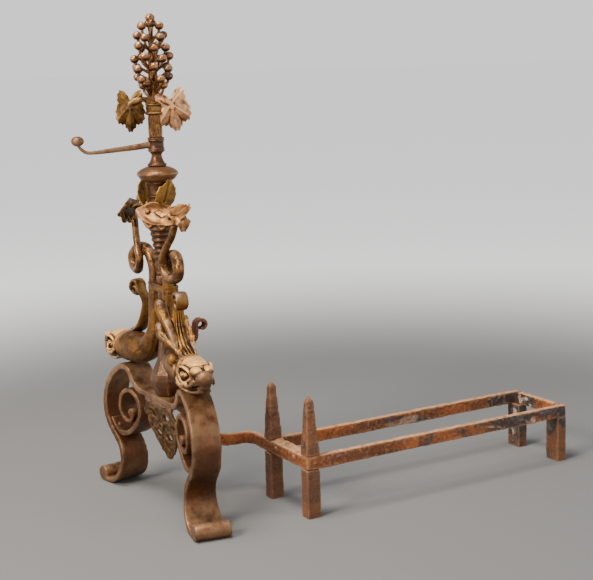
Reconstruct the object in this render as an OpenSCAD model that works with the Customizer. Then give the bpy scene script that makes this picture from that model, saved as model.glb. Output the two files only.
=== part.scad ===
// Wrought iron andiron with a swivelling arm, a pair of dolphins and a bunch of grapes.
// Millimetres. X runs across the two scroll legs, Y from the front of the hearth to its back, Z up.
// The shapes are laid out round the column's own axis, and at_column() then stands them
// so that the origin is on the hearth under the middle of the whole object.

/* [Overall] */
// Height of the topmost grape above the hearth
top_z = 660; // [640:5:680]
// Reach of each foot from the column's axis
foot_reach = 170; // [160:1:180]
// Distance from the column's axis back to the rear of the log rest
rear_y = 560; // [540:5:600]
// Distance from the column's axis forward to the end of the swivel arm
arm_reach = 117; // [105:1:130]

/* [Scroll legs] */
// Width of the leg's flat bar
leg_w = 38; // [34:1:42]
// Width of the foot where the bar is drawn out
foot_w = 49; // [44:1:52]
// Thickness of the leg's bar at the arch
leg_t = 9.5; // [8:0.5:11]
// Thickness of the bar where it lies on the hearth
sole_t = 6.4; // [5:0.2:8]
// Radius of the rolled end of each foot
foot_roll_r = 11; // [9:0.5:12]
// Angle by which each leg turns forward, seen from above
leg_splay = 10; // [6:1:12]
// Width of the inner scroll's bar
volute_w = 34; // [30:1:38]
// Thickness of the inner scroll's bar
volute_t = 7.5; // [6:0.5:9]

/* [Column] */
// Radius of the rod through the column
rod_r = 4; // [3:0.5:5]
// Radius of the faceted baluster at its widest
baluster_r = 23; // [20:0.5:25]
// Number of rings on the cone
cone_rings = 10; // [8:1:12]
// Radius of the disc knop
disc_r = 27.5; // [25:0.5:30]
// Radius of the journal that the sleeve turns on
journal_r = 8; // [7:0.5:9]
// Radial clearance between the journal and the sleeve
running_gap = 0.05; // [0.02:0.01:0.1]
// Radius of the upper post
post_r = 8.8; // [8.5:0.1:10]

/* [Swivel arm] */
// Radius of the sleeve
sleeve_r = 11.2; // [11:0.1:12.5]
// Radius of the arm at the sleeve
arm_root_r = 4.5; // [4:0.1:5]
// Radius of the arm at its tip
arm_tip_r = 2.2; // [2:0.1:3]
// Radius of the ball at the arm's end
ball_r = 8.4; // [7.5:0.1:10]

/* [Ornament] */
// Radius of one grape
grape_r = 5.8; // [5:0.2:6.4]
// Thickness of a leaf
leaf_t = 1.8; // [1.4:0.2:2.4]
// Distance from the column's axis to a dolphin's slender body
dolphin_x = 22.5; // [22:0.5:24]
// Width of a vine leaf at the top
vine_leaf_w = 44; // [40:1:50]
// Depth of a tail leaf from front to back
tail_leaf_w = 56; // [50:1:62]

/* [Log rest] */
// Width of the log rest over its side bars
rest_w = 114; // [104:1:120]
// Sideways offset of the log rest's middle from the column
rest_x = 109; // [100:1:112]
// Height of the bars' top above the hearth
rest_z = 84; // [80:1:90]
// Height of a bar
bar_h = 18; // [14:1:22]
// Thickness of a bar
bar_t = 9.5; // [8:0.5:11]
// Height of the front posts' points
spike_z = 164; // [150:1:180]

/* [Hidden] */
$fn = 64;
eps = 0.01;

// The whole object is centred lengthwise on the origin.
column_y = (arm_reach - rear_y) / 2;
module at_column() translate([0, column_y, 0]) children();

// Colours
bronze_brown = "#6b4a35";
old_gilt = "#9a6f33";
rust = "#8c4f2e";

// ---- Curves made of arcs ----
// A place on a curve is [across, up, heading in degrees].
// This moves one along an arc of a given length while the heading turns.
function arc_step(p, len, turn) =
    abs(turn) < 0.001
        ? [p[0] + len * cos(p[2]), p[1] + len * sin(p[2]), p[2]]
        : let (r = len / (turn * PI / 180))
          [p[0] + r * (sin(p[2] + turn) - sin(p[2])),
           p[1] - r * (cos(p[2] + turn) - cos(p[2])),
           p[2] + turn];

// All the places along a chain of bends, each [length, turn], a little under pitch apart
pitch = 4;
function walk(from, bends, k = 0) =
    k == len(bends)
        ? [from]
        : let (n = max(1, ceil(bends[k][0] / pitch)),
               run = [for (i = [0 : n]) arc_step(from, bends[k][0] * i / n, bends[k][1] * i / n)])
          concat([for (i = [0 : n - 1]) run[i]], walk(run[n], bends, k + 1));

// The outline of a bar that follows a curve. Its thickness goes evenly through the values in t.
function listed(t, s) =
    let (k = min(len(t) - 2, floor(s * (len(t) - 1))))
    t[k] + (t[k + 1] - t[k]) * (s * (len(t) - 1) - k);
function beside(p, d) = [p[0] - d * sin(p[2]), p[1] + d * cos(p[2])];
function bar_outline(path, t) =
    let (last = len(path) - 1)
    concat([for (i = [0 : last]) beside(path[i], listed(t, i / last) / 2)],
           [for (i = [last : -1 : 0]) beside(path[i], -listed(t, i / last) / 2)]);
module bar_on_edge(path, t) polygon(bar_outline(path, t));

// Stands an outline drawn as [across, up] upright, with its depth centred on Y
module upright(depth) rotate([90, 0, 0]) linear_extrude(depth, center = true) children();

// ---- Lofted forms ----
// A closed solid through rings of points. Every ring has the same number of points.
module loft(rings) {
    n = len(rings[0]);
    m = len(rings);
    sides = [for (i = [0 : m - 2], j = [0 : n - 1])
        each [[i * n + j, (i + 1) * n + (j + 1) % n, (i + 1) * n + j],
              [i * n + j, i * n + (j + 1) % n, (i + 1) * n + (j + 1) % n]]];
    first = [[for (j = [n - 1 : -1 : 0]) j]];
    last = [[for (j = [0 : n - 1]) (m - 1) * n + j]];
    polyhedron([for (r = rings) each r], concat(first, sides, last), convexity = 8);
}

// A smooth curve through a few knots, with steps places between each pair
function blend(a, b, c, d, t) =
    (2 * b + (c - a) * t + (2 * a - 5 * b + 4 * c - d) * t * t
     + (3 * b - a - 3 * c + d) * t * t * t) / 2;
function smooth(knots, steps) =
    let (last = len(knots) - 1)
    concat([for (k = [0 : last - 1], i = [0 : steps - 1])
                blend(knots[max(0, k - 1)], knots[k], knots[k + 1], knots[min(last, k + 2)],
                      i / steps)],
           [knots[last]]);
function unit(v) = v / norm(v);
function place(k) = [k[0], k[1], k[2]];
function along(path, i) =
    unit(place(path[min(len(path) - 1, i + 1)]) - place(path[max(0, i - 1)]));

// One ring of a round limb at place i: knots are [x, y, z, half height, half width].
// The half width lies along Y as nearly as the limb allows.
function limb_ring(path, i, sides, side_way = [0, 1, 0]) =
    let (t = along(path, i), b = unit(side_way - t * (side_way * t)), n = cross(b, t))
    [for (j = [0 : sides - 1])
        place(path[i]) + n * path[i][3] * cos(j * 360 / sides) + b * path[i][4] * sin(j * 360 / sides)];
module limb(knots, steps = 4, sides = 10, side_way = [0, 1, 0]) {
    path = smooth(knots, steps);
    loft([for (i = [len(path) - 1 : -1 : 0]) limb_ring(path, i, sides, side_way)]);
}

// A thin leaf along a spine: knots are [x, y, z, half width, cup]. The leaf is broad along
// side_way, its edges bend by the cup, and notches scallop them.
function leaf_ring(path, i, side_way, cells, notches) =
    let (t = along(path, i), b = unit(side_way - t * (side_way * t)), n = cross(t, b),
         s = i / (len(path) - 1),
         w = path[i][3] * (1 - 0.16 * pow(abs(cos(s * 180 * notches)), 2)),
         mid = [for (j = [0 : cells]) let (u = 2 * j / cells - 1)
                place(path[i]) + b * w * u + n * path[i][4] * u * u])
    concat([for (p = mid) p + n * leaf_t / 2],
           [for (j = [cells : -1 : 0]) mid[j] - n * leaf_t / 2]);
module leaf(knots, side_way = [0, 1, 0], steps = 4, cells = 6, notches = 3) {
    path = smooth(knots, steps);
    loft([for (i = [0 : len(path) - 1]) leaf_ring(path, i, side_way, cells, notches)]);
}

// Draws a shape made for the right side, on the right for side = 1 and on the left for -1
module on_side(side) mirror([side > 0 ? 0 : 1, 0, 0]) children();

// ---- Scroll legs ----
// The two legs meet over the column's axis. Past splay_x each one turns forward in plan.
splay_x = 48;
foot_tip = splay_x + (foot_reach - splay_x - foot_w / 2 * sin(leg_splay)) / cos(leg_splay);
module splayed() translate([splay_x, 0, 0]) rotate(-leg_splay) translate([-splay_x, 0, 0]) children();

leg_bends = [[13, 0], [13.1, -24.1], [42.57, -61.8], [29.8, -50], [19.43, -5], [19.8, 27], [37, 40],
             [65.7, 52.1], [29.1, 86], [36, -64.2]];
leg_walk = walk([foot_tip - foot_roll_r, sole_t / 2, 180], leg_bends);
saddle_start = leg_walk[len(leg_walk) - 1];
saddle_z = saddle_start[1];
leg_path = concat(leg_walk, [[splay_x - 8, saddle_z, 180]]);
saddle_t = 8.6;
leg_thickness = [sole_t, sole_t, 8.4, leg_t, leg_t, leg_t, leg_t, leg_t, saddle_t, saddle_t, saddle_t];
saddle_top = saddle_z + saddle_t / 2;
saddle_bottom = saddle_z - saddle_t / 2;
miter = tan(leg_splay / 2);
flare_z0 = 16;
flare_z1 = 95;

module leg() difference() {
    union() {
        saddle();
        splayed() difference() {
            upright(foot_w) {
                bar_on_edge(leg_path, leg_thickness);
                translate([foot_tip - foot_roll_r, foot_roll_r]) circle(foot_roll_r);
            }
            for (way = [-1, 1]) leg_waist(way);
            linear_extrude(2 * saddle_z)
                polygon([[splay_x - 30, -60], [splay_x + 60 * miter, -60],
                         [splay_x - 60 * miter, 60], [splay_x - 30, 60]]);
        }
    }
    translate([0, 0, saddle_bottom - 5]) cylinder(h = 20, r = rod_r + running_gap);
}
// The saddle runs a little way into the turned bar. There it is slimmer by ease on every face.
ease = 0.02;
module saddle() {
    half = leg_w / 2 - ease;
    translate([0, 0, saddle_bottom + ease]) linear_extrude(saddle_t - 2 * ease)
        polygon([[0, -half], [splay_x + 1 - half * miter, -half], [splay_x + 1 + half * miter, half],
                 [0, half]]);
}
// What is taken off one edge of the bar so that only the foot is as wide as foot_w
module leg_waist(way) {
    side = leg_w / 2;
    flare = (foot_w - leg_w) / 2;
    rotate([90, 0, 90]) linear_extrude(foot_tip + 10)
        polygon(concat(
            [for (k = [0 : 8]) [way * (side + flare * pow(1 - k / 8, 2)),
                                flare_z0 + (flare_z1 - flare_z0) * k / 8]],
            [[way * side, 300], [way * (foot_w + 9), 300], [way * (foot_w + 9), flare_z0]]));
}
module left_leg() color(bronze_brown) at_column() on_side(-1) leg();
module right_leg() color(bronze_brown) at_column() on_side(1) leg();

// ---- Inner scrolls ----
lap_bend = 5;
lap = leg_walk[len(walk([0, 0, 0], [for (k = [0 : lap_bend - 1]) leg_bends[k]])) - 1];
lap_gap = (leg_t + volute_t) / 2 + 0.02;
lap_mid = [lap[0] - lap_gap * sin(lap[2]), lap[1] + lap_gap * cos(lap[2]), lap[2]];
lap_tip = arc_step(lap_mid, 16, 27.4);
volute_bends = [[16, -27.4], [30.9, -62], [39.2, -31.4], [58.1, -133.4], [41.5, -93.4],
                [28.3, -88.2], [18, -80]];
volute_path = walk([lap_tip[0], lap_tip[1], lap_tip[2] + 180], volute_bends);
volute_thickness = [4, volute_t, volute_t, volute_t, 7, 6.4, 6, 5.4];
knob_r = 7;
module volute() splayed() {
    end = volute_path[len(volute_path) - 1];
    upright(volute_w) {
        bar_on_edge(volute_path, volute_thickness);
        translate(beside(end, -knob_r + 3)) circle(knob_r);
    }
}
module left_volute() color(bronze_brown) at_column() on_side(-1) volute();
module right_volute() color(bronze_brown) at_column() on_side(1) volute();
module volute_rivets() color(bronze_brown) at_column()
    for (side = [-1, 1], y = [-9, 9]) on_side(side) splayed()
        translate([lap_mid[0], y, lap_mid[1]]) rotate([0, -lap[2], 0])
            translate([0, 0, volute_t / 2 - 0.8]) scale([1, 1, 0.55]) sphere(4, $fn = 32);

// ---- Pierced apron ----
rail_half = 42;
rail_t = 5;
rail_h = 6;
apron_t = 3.6;
apron_lean = 10;
apron_y = -15;
boss_z = -29;
apron_side = [[40, 0], [43, -8], [50, -14], [49, -22], [43, -29], [42, -38], [33, -50], [24, -62],
              [12, -71], [5, -77]];
module apron_outline() {
    mirrored = [for (k = [len(apron_side) - 1 : -1 : 0]) [-apron_side[k][0], apron_side[k][1]]];
    polygon(concat(apron_side, mirrored));
}
module slanted_hole(x, z, long, short, angle)
    translate([x, z]) rotate(angle) scale([long, short]) circle(1, $fn = 32);
module apron_holes() {
    for (side = [-1, 1]) mirror([side > 0 ? 0 : 1, 0]) {
        slanted_hole(20, -13, 10, 4.4, 14);
        slanted_hole(38, -23, 4.2, 3, 60);
        slanted_hole(17, -42, 9.5, 4.6, 12);
        slanted_hole(34, -36, 3.4, 2.2, -40);
        slanted_hole(7, -58, 6, 2.8, -75);
    }
    slanted_hole(0, boss_z, 3.2, 3.2, 0);
    slanted_hole(0, -69, 2, 3.2, 0);
}
module apron() color(bronze_brown) at_column()
    translate([0, apron_y, saddle_bottom - rail_h]) rotate([apron_lean, 0, 0])
        difference() {
            union() {
                upright(apron_t) difference() {
                    apron_outline();
                    apron_holes();
                }
                translate([0, 0, boss_z]) rotate([90, 0, 0]) rotate_extrude($fn = 48) apron_boss();
            }
            translate([0, 30, boss_z]) rotate([90, 0, 0]) cylinder(h = 60, r = 3.2);
        }
// Half section of the raised ring round the apron's middle hole
module apron_boss() polygon([[3, 0], [6, 0], [6, 3.4], [4.5, 4], [3, 3.4]]);
module apron_rail() color(bronze_brown) at_column()
    translate([-rail_half, apron_y - rail_t / 2, saddle_bottom - rail_h])
        cube([2 * rail_half, rail_t, rail_h]);
module apron_rivets() color(bronze_brown) at_column()
    for (x = [-22, 22]) translate([x, apron_y - rail_t / 2 + 1, saddle_bottom - rail_h / 2])
        rotate([90, 0, 0]) scale([1, 1, 0.9]) sphere(2.8, $fn = 24);

// ---- Column ----
cone_z0 = 318;
cone_z1 = 392;
socket_z1 = 443;
disc_z1 = 463;
journal_z0 = 482;
journal_z1 = 501.3;
post_z1 = 530;
collar_z = 297;
collar_h = 10;
module bored(z0, z1) difference() {
    children();
    translate([0, 0, z0 - 1]) cylinder(h = z1 - z0 + 2, r = rod_r + running_gap);
}
// A ringed bead, drawn as the half section of a turned piece
function bead(z, r, h, n = 8, bulge = 0.5) =
    [for (i = [0 : n]) [r + h * bulge * sin(i * 180 / n), z + h * i / n]];

rod_z0 = saddle_bottom - 12;
rod_z1 = post_z1 - 8;
module core_rod() color(bronze_brown) at_column()
    translate([0, 0, rod_z0]) cylinder(h = rod_z1 - rod_z0, r = rod_r);
module rod_nut() color(bronze_brown) at_column()
    bored(saddle_bottom - 9, saddle_bottom)
        translate([-6.5, -6.5, saddle_bottom - 9]) cube([13, 13, 9]);
module baluster() color(bronze_brown) at_column()
    bored(saddle_top, cone_z0)
        rotate(22.5) rotate_extrude($fn = 8)
            polygon([[0, saddle_top], [16, saddle_top], [19.5, 161], [22, 168], [baluster_r, 176],
                     [21.5, 184], [17.5, 193], [13.5, 203], [11, 214], [9.6, 228], [8.4, 248], [8, 306],
                     [8.8, cone_z0 - 4], [8.8, cone_z0], [0, cone_z0]]);
module binding_collar() color(old_gilt) at_column()
    translate([0, 0, collar_z]) linear_extrude(collar_h) difference() {
        collar_ring(10.9);
        collar_ring(8.7);
    }
module collar_ring(r) {
    for (side = [-1, 1]) translate([side * dolphin_x, 0]) circle(r);
    square([2 * dolphin_x, 2 * r], center = true);
}
// The cone swells upward from 8 to 17 in radius, with one bead for each ring.
cone_step = (cone_z1 - cone_z0) / cone_rings;
function cone_r(k) = 5.4 + 9.2 * pow(k / (cone_rings - 1), 1.4);
module ringed_cone() color(bronze_brown) at_column()
    bored(cone_z0, cone_z1) rotate_extrude()
        polygon(concat([[0, cone_z0]],
            [for (k = [0 : cone_rings - 1]) each bead(cone_z0 + k * cone_step, cone_r(k), cone_step, 6, 0.32)],
            [[0, cone_z1]]));
module leaf_socket() color(bronze_brown) at_column()
    bored(cone_z1, socket_z1) rotate_extrude()
        polygon(concat([[0, cone_z1], [12, cone_z1]], bead(cone_z1, 13, 6), [[12.5, 402], [12, 416]],
            bead(422, 12.5, 5), [[12.5, 432], [14, 438], [17, socket_z1], [0, socket_z1]]));
module knop_disc() color(bronze_brown) at_column()
    bored(socket_z1, disc_z1) rotate_extrude($fn = 96)
        polygon([[0, socket_z1], [18, socket_z1], [23, 446.5], [disc_r - 1, 451.5], [disc_r, 453],
                 [disc_r, 454.5], [disc_r - 2, 457], [21, 460], [15, 462.3], [12, disc_z1],
                 [0, disc_z1]]);
module swivel_neck() color(bronze_brown) at_column()
    bored(disc_z1, journal_z1) rotate_extrude()
        polygon(concat([[0, disc_z1]], bead(disc_z1, 11, 4),
            [[10, 468], [8.4, 471], [7.2, 474.5], [6.9, 477.5], [7.8, 480], [10, journal_z0],
             [journal_r, journal_z0], [journal_r, journal_z1], [0, journal_z1]]));
module upper_post() color(old_gilt) at_column()
    difference() {
        translate([0, 0, journal_z1]) cylinder(h = post_z1 - journal_z1, r = post_r);
        translate([0, 0, journal_z1 - 1]) cylinder(h = rod_z1 - journal_z1 + 1.2, r = rod_r + running_gap);
    }

// ---- Leaves and grapes on top ----
stalk_z0 = 548;
module post_collar() color(old_gilt) at_column() rotate_extrude()
    polygon(concat([[0, post_z1]], bead(post_z1, 10.5, 5), [[11, 536], [11.5, 541]],
        bead(541, 9.5, 5), [[8.5, stalk_z0], [0, stalk_z0]]));

// A drooping vine leaf on its arching stem. It hangs beside the post and cups towards it.
module vine_leaf(reach, turn) rotate(turn) resize([0, vine_leaf_w, 0]) {
    limb([[8, 0, 545, 3.4, 3.4], [16, 0, 553, 3.2, 3.2], [reach - 14, 0, 557, 2.8, 2.8],
          [reach - 4, 0, 554, 2.4, 2.4]], steps = 3, sides = 8);
    leaf([[reach - 16, 0, 559, 7, -2], [reach - 6, 0, 558, 20, -7], [reach + 3, 0, 549, 25, -10],
          [reach + 7, 0, 536, 26, -11], [reach + 6, 0, 523, 21, -9], [reach, 0, 511, 13, -5],
          [reach - 6, 0, 505, 4, -1]], steps = 3, cells = 8, notches = 4);
}
module left_vine_leaf() color(old_gilt) at_column() vine_leaf(50, 199);
module right_vine_leaf() color(old_gilt) at_column() vine_leaf(43, 14);

stalk_top = top_z - 26;
module grape_stalk() color(old_gilt) at_column() {
    translate([0, 0, stalk_z0]) cylinder(h = stalk_top - stalk_z0, r1 = 6.4, r2 = 2.6, $fn = 48);
    for (k = [0 : 5]) rotate(k * 60) translate([0, 0, stalk_z0])
        multmatrix([[1, 0, -4.2 / 90, 5.6], [0, 1, 0, 0], [0, 0, 1, 0]]) cylinder(h = 70, r = 2.2, $fn = 16);
}
// Tiers of grapes: [drop below the top, reach from the axis, how many, bearing of the first]
tiers = [[10, 11.5, 4, 75], [25, 17.5, 5, 20], [38, 18.5, 5, 58], [52, 22.5, 6, 12],
         [65, 22.5, 6, 40], [78, 21, 5, 5], [86, 16, 4, 31]];
function grape_at(t, k) =
    let (bearing = t[3] + k * 360 / t[2])
    [t[1] * cos(bearing), t[1] * sin(bearing), top_z - grape_r - t[0] + (k % 2) * 3];
module grapes() color(old_gilt) at_column() {
    translate([0, 0, top_z - grape_r]) sphere(grape_r, $fn = 32);
    for (t = tiers, k = [0 : t[2] - 1]) translate(grape_at(t, k)) sphere(grape_r, $fn = 32);
}
module grape_twigs() color(old_gilt) at_column() {
    limb([[0, 0, stalk_top - 2, 2.4, 2.4], [1, 0, stalk_top + 8, 2, 2],
          [0, 0, top_z - 2 * grape_r + 1, 1.7, 1.7]], steps = 3, sides = 6);
    for (t = tiers, k = [0 : t[2] - 1]) {
        g = grape_at(t, k);
        low = g[2] - 16;
        out = unit([g[0], g[1], 0]);
        limb([concat(out * 1.5 + [0, 0, low - 3], [1.8, 1.8]),
              concat(out * (t[1] * 0.55) + [0, 0, low + 2], [1.6, 1.6]),
              concat(out * (t[1] * 0.95) + [0, 0, g[2] - grape_r + 0.6], [1.5, 1.5])],
             steps = 3, sides = 6, side_way = cross([0, 0, 1], out));
    }
}

// ---- Dolphins ----
// The dolphins turn forward with the legs that they stand on.
dolphin_turn = 6.5;
// Knots of the right dolphin from the tail end of its body down to its snout
body_knots = [[dolphin_x, 0, 312, 7.4, 7.4], [dolphin_x, 0, 304, 8.6, 8.6], [dolphin_x, 0, 290, 9.3, 9.3],
              [dolphin_x, 0, 268, 9.8, 10], [23.5, 0, 246, 10.5, 12], [28.5, 0, 229, 13.5, 16],
              [42, 0, 214.5, 18, 20.5], [64, 0, 208.5, 21.5, 24], [90, 0, 207.5, 23, 24.5],
              [112, 0, 205.5, 20.5, 22.5], [132, 0, 203, 16, 18.5], [148, 0, 201, 11.5, 13],
              [158, 0, 200, 6, 7]];
module dolphin() rotate(-dolphin_turn) {
    limb(body_knots, steps = 3, sides = 12);
    translate([148, 0, 206.5]) sphere(10.5, $fn = 24);
    for (way = [-1, 1]) {
        translate([118, way * 12, 218]) sphere(10, $fn = 20);
        translate([134, way * 8, 214]) sphere(7.5, $fn = 20);
        translate([86, way * 22, 222]) sphere(7.5, $fn = 20);
    }
}
module left_dolphin() color(old_gilt) at_column() on_side(-1) dolphin();
module right_dolphin() color(old_gilt) at_column() on_side(1) dolphin();

// The crest is a strap up the back that ends in a scroll, with two lobes on each flank.
crest_root = [88, 0, 225];
crest_tips = [[40, 18, 294], [47, 21, 264]];
knob_at = [68, 0, 293];
module crest() rotate(-dolphin_turn) {
    limb([[94, 0, 225, 4, 8], [78, 0, 233, 5, 8], [63, 0, 249, 5, 7.5], [55, 0, 268, 5, 7],
          [57, 0, 287, 5, 7]], steps = 3, sides = 8);
    translate(knob_at) rotate([90, 0, 0]) cylinder(h = 16, r = 10, center = true, $fn = 48);
    for (way = [-1, 1], tip = crest_tips)
        limb([[crest_root[0], way * 9, crest_root[2], 4, 4],
              [(crest_root[0] + tip[0]) / 2 + 4, way * (tip[1] * 0.8), (crest_root[2] + tip[2]) / 2 - 3, 4.4, 4.6],
              [tip[0] + 5, way * tip[1], tip[2] - 15, 6, 6.2],
              [tip[0] + 1, way * tip[1], tip[2] - 5, 5, 5.2],
              [tip[0], way * tip[1], tip[2], 2, 2.2]], steps = 3, sides = 8);
}
module left_crest() color(old_gilt) at_column() on_side(-1) crest();
module right_crest() color(old_gilt) at_column() on_side(1) crest();

// The tail rises from the body, loops outward and comes back in front as a thin stem.
body_end = [dolphin_x * cos(dolphin_turn), -dolphin_x * sin(dolphin_turn)];
tail_knots = [[body_end[0], body_end[1], 312, 7.4, 7.4], [25, -2, 330, 7.4, 7.5],
              [33, -3, 345, 7.6, 7.7], [48, -4, 350, 7.8, 7.8], [63, -7, 347, 7.6, 7.6],
              [72.5, -9.6, 337, 7.4, 7.4], [70, -10.5, 325.5, 6.6, 6.8], [59, -11.8, 320.5, 5.8, 6],
              [46, -14, 323, 5, 5.2], [36, -16.4, 337, 4.4, 4.6], [46, -15, 357, 4, 4.2],
              [60, -10, 378, 3.8, 4], [66, -8, 394, 3.4, 3.6]];
module tail() limb(tail_knots, steps = 3, sides = 10);
module left_tail() color(old_gilt) at_column() on_side(-1) tail();
module right_tail() color(old_gilt) at_column() on_side(1) tail();

// The stem ends in a leaf of three lobes: one to the front of the column, one up and outward
// and one that droops at the outer end. A short lobe joins it to the column.
leaf_up = [-0.5, 0.35, 0.8];
module tail_leaf() resize([0, tail_leaf_w, 0]) {
    leaf([[22, -43, 409, 3, 0], [34, -36, 406, 9, 2], [48, -24, 403, 14, 4], [62, -12, 402, 15, 3],
          [74, -5, 406, 12, 0], [83, -1, 412, 8, -3], [88, 1, 418, 3, -1]],
         side_way = leaf_up, steps = 3, cells = 8, notches = 4);
    leaf([[64, -11, 400, 9, 2], [76, -7, 402, 10, 0], [85, -6, 398, 9, -3], [88, -7, 386, 3, -1]],
         side_way = [0.1, 1, 0.1], steps = 3, cells = 6, notches = 2);
    leaf([[11.8, -3, 408, 8, 0], [26, -10, 412, 11, -2], [44, -16, 409, 10, -2],
          [56, -16, 403, 6, -1]], side_way = [0.3, 1, 0], steps = 3, cells = 6, notches = 2);
}
module left_tail_leaf() color(old_gilt) at_column() on_side(-1) tail_leaf();
module right_tail_leaf() color(old_gilt) at_column() on_side(1) tail_leaf();
// An upright leaf stands on each side between the tail leaves and the disc.
module upright_leaf() rotate(-dolphin_turn)
    leaf([[13.5, 0, 417, 6, 0], [22, 0, 422, 11, -3], [31, 0, 430, 13, -4], [40, 0, 438, 11, -4],
          [47, 0, 444, 5, -1]], steps = 3, cells = 6, notches = 3);
module left_upright_leaf() color(old_gilt) at_column() on_side(-1) upright_leaf();
module right_upright_leaf() color(old_gilt) at_column() on_side(1) upright_leaf();

// ---- Hook behind the column ----
hook_w = 14;
hook_t = 5;
hook_z = 222.5;
hook_path = walk([9.2, hook_z, 0], [[27, 0], [12.6, 90], [13, 0], [21, -160], [15, -150]]);
module rear_hook() color(rust) at_column() rotate(90)
    upright(hook_w) bar_on_edge(hook_path, [hook_t, hook_t, 4.6, 4]);

// ---- Log rest ----
rest_x0 = rest_x - rest_w / 2;
rest_x1 = rest_x + rest_w / 2;
stem_y1 = 117.5;
front_y = stem_y1 + bar_t;
bar_z = rest_z - bar_h;
tenon_r = 4;
// Tenons of the front posts stand on the joint between the stem's lap and the front bar.
front_tenon = [rest_x1 - 8, front_y];
far_tenon = [rest_x0 + 7, front_y];
rear_tenon_y = rear_y - bar_t / 2;
near_rear_x = rest_x1 - 13;
far_rear_x = rest_x0 + 13;
module tenon_holes() for (p = [front_tenon, far_tenon, [near_rear_x, rear_tenon_y], [far_rear_x, rear_tenon_y]])
    translate([p[0], p[1], bar_z - 1]) cylinder(h = bar_h + 2, r = tenon_r + running_gap);

// The stem leaves the saddle, dips behind the near leg and then laps along the front bar.
stem_plan = walk([-5, 13, 90], [[53, 0], [16, -20], [22, 20], [26, -90], [rest_x1 - 26, 0]]);
stem_rise = walk([13, saddle_bottom - bar_h / 2, 0], [[8, -28], [35, -34], [44, 62], [80, 0]]);
stem_run = 72;
stem_lap_y = stem_plan[len(stem_plan) - 1][1];
stem_drop_z = stem_rise[len(stem_rise) - 1][1];
module stem_bar() color(rust) at_column() difference() {
    intersection() {
        translate([0, stem_y1 + bar_t / 2 - stem_lap_y, 0])
            linear_extrude(saddle_bottom) bar_on_edge(stem_plan, [bar_t, bar_t]);
        rotate([90, 0, 90]) translate([0, 0, -40]) linear_extrude(rest_x1 + 40)
            stem_side();
    }
    tenon_holes();
}
// Side view of the stem: the bar's full height, level with the front bar where it laps it
stem_fall = stem_drop_z - (rest_z - bar_h / 2);
stem_top = [for (p = stem_rise) [p[0], p[1] - stem_fall * min(1, (p[0] - 13) / stem_run), p[2]]];
module stem_side()
    polygon(concat([[13, saddle_bottom]],
        [for (p = stem_top) if (p[0] > 14 && p[0] < 84) beside(p, bar_h / 2)],
        [[86, rest_z], [front_y, rest_z], [front_y, bar_z], [86, bar_z]],
        [for (k = [len(stem_top) - 1 : -1 : 0]) if (stem_top[k][0] > 20 && stem_top[k][0] < 84)
            [beside(stem_top[k], -bar_h / 2)[0], max(bar_z, beside(stem_top[k], -bar_h / 2)[1])]],
        [[13, saddle_bottom - bar_h]]));
module stem_rivets() color(rust) at_column()
    for (x = [rest_x0 + 30, rest_x1 - 36])
        translate([x, stem_y1 + 1.5, bar_z + bar_h / 2]) rotate([90, 0, 0])
            scale([1, 1, 0.7]) sphere(4.5, $fn = 32);

// One straight bar of the log rest, with its outer corners rounded over
module rest_bar(x0, x1, y0, y1) translate([x0, y0, bar_z]) cube([x1 - x0, y1 - y0, bar_h]);
module corner_round(x, y, sx, sy, r) translate([x, y, bar_z - 1]) difference() {
    translate([sx > 0 ? 0 : -r - 1, sy > 0 ? 0 : -r - 1, 0]) cube([r + 1, r + 1, bar_h + 2]);
    cylinder(h = 3 * bar_h, r = r, center = true);
}
module front_bar() color(rust) at_column() difference() {
    rest_bar(rest_x0, rest_x1, front_y, front_y + bar_t);
    tenon_holes();
}
module near_side_bar() color(rust) at_column()
    rest_bar(rest_x1 - bar_t, rest_x1, front_y + bar_t, rear_y - bar_t);
module far_side_bar() color(rust) at_column()
    rest_bar(rest_x0, rest_x0 + bar_t, front_y + bar_t, rear_y - bar_t);
module rear_bar() color(rust) at_column() difference() {
    rest_bar(rest_x0, rest_x1, rear_y - bar_t, rear_y);
    corner_round(rest_x0 + 9, rear_y - 9, -1, 1, 9);
    tenon_holes();
}

// A front post is one forging: a leg below the bars, a tenon through them and a spike above.
post_w = 17;
post_d = 18.8;
spike_tip_w = 9;
module front_post(p) translate([p[0], p[1], 0]) {
    translate([-post_w / 2, -post_d / 2, 0]) cube([post_w, post_d, bar_z]);
    translate([0, 0, bar_z]) cylinder(h = bar_h, r = tenon_r);
    translate([0, 0, rest_z]) spike();
}
module spike() {
    shoulder = spike_z - rest_z - 7;
    loft([for (s = [[0, post_w, post_d], [shoulder, spike_tip_w, spike_tip_w + 1.5],
                    [spike_z - rest_z, 2, 2]])
          [for (c = [[1, -1], [-1, -1], [-1, 1], [1, 1]]) [c[0] * s[1] / 2, c[1] * s[2] / 2, s[0]]]]);
}
module near_front_post() color(rust) at_column() front_post(front_tenon);
module far_front_post() color(rust) at_column() front_post(far_tenon);
rear_leg_w = 26;
rear_leg_d = 15;
module rear_leg(x) {
    translate([x - rear_leg_w / 2, rear_y - rear_leg_d, 0]) cube([rear_leg_w, rear_leg_d, bar_z]);
    translate([x, rear_tenon_y, bar_z]) cylinder(h = bar_h, r = tenon_r);
}
module near_rear_leg() color(rust) at_column() rear_leg(near_rear_x);
module far_rear_leg() color(rust) at_column() rear_leg(far_rear_x);

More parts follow.
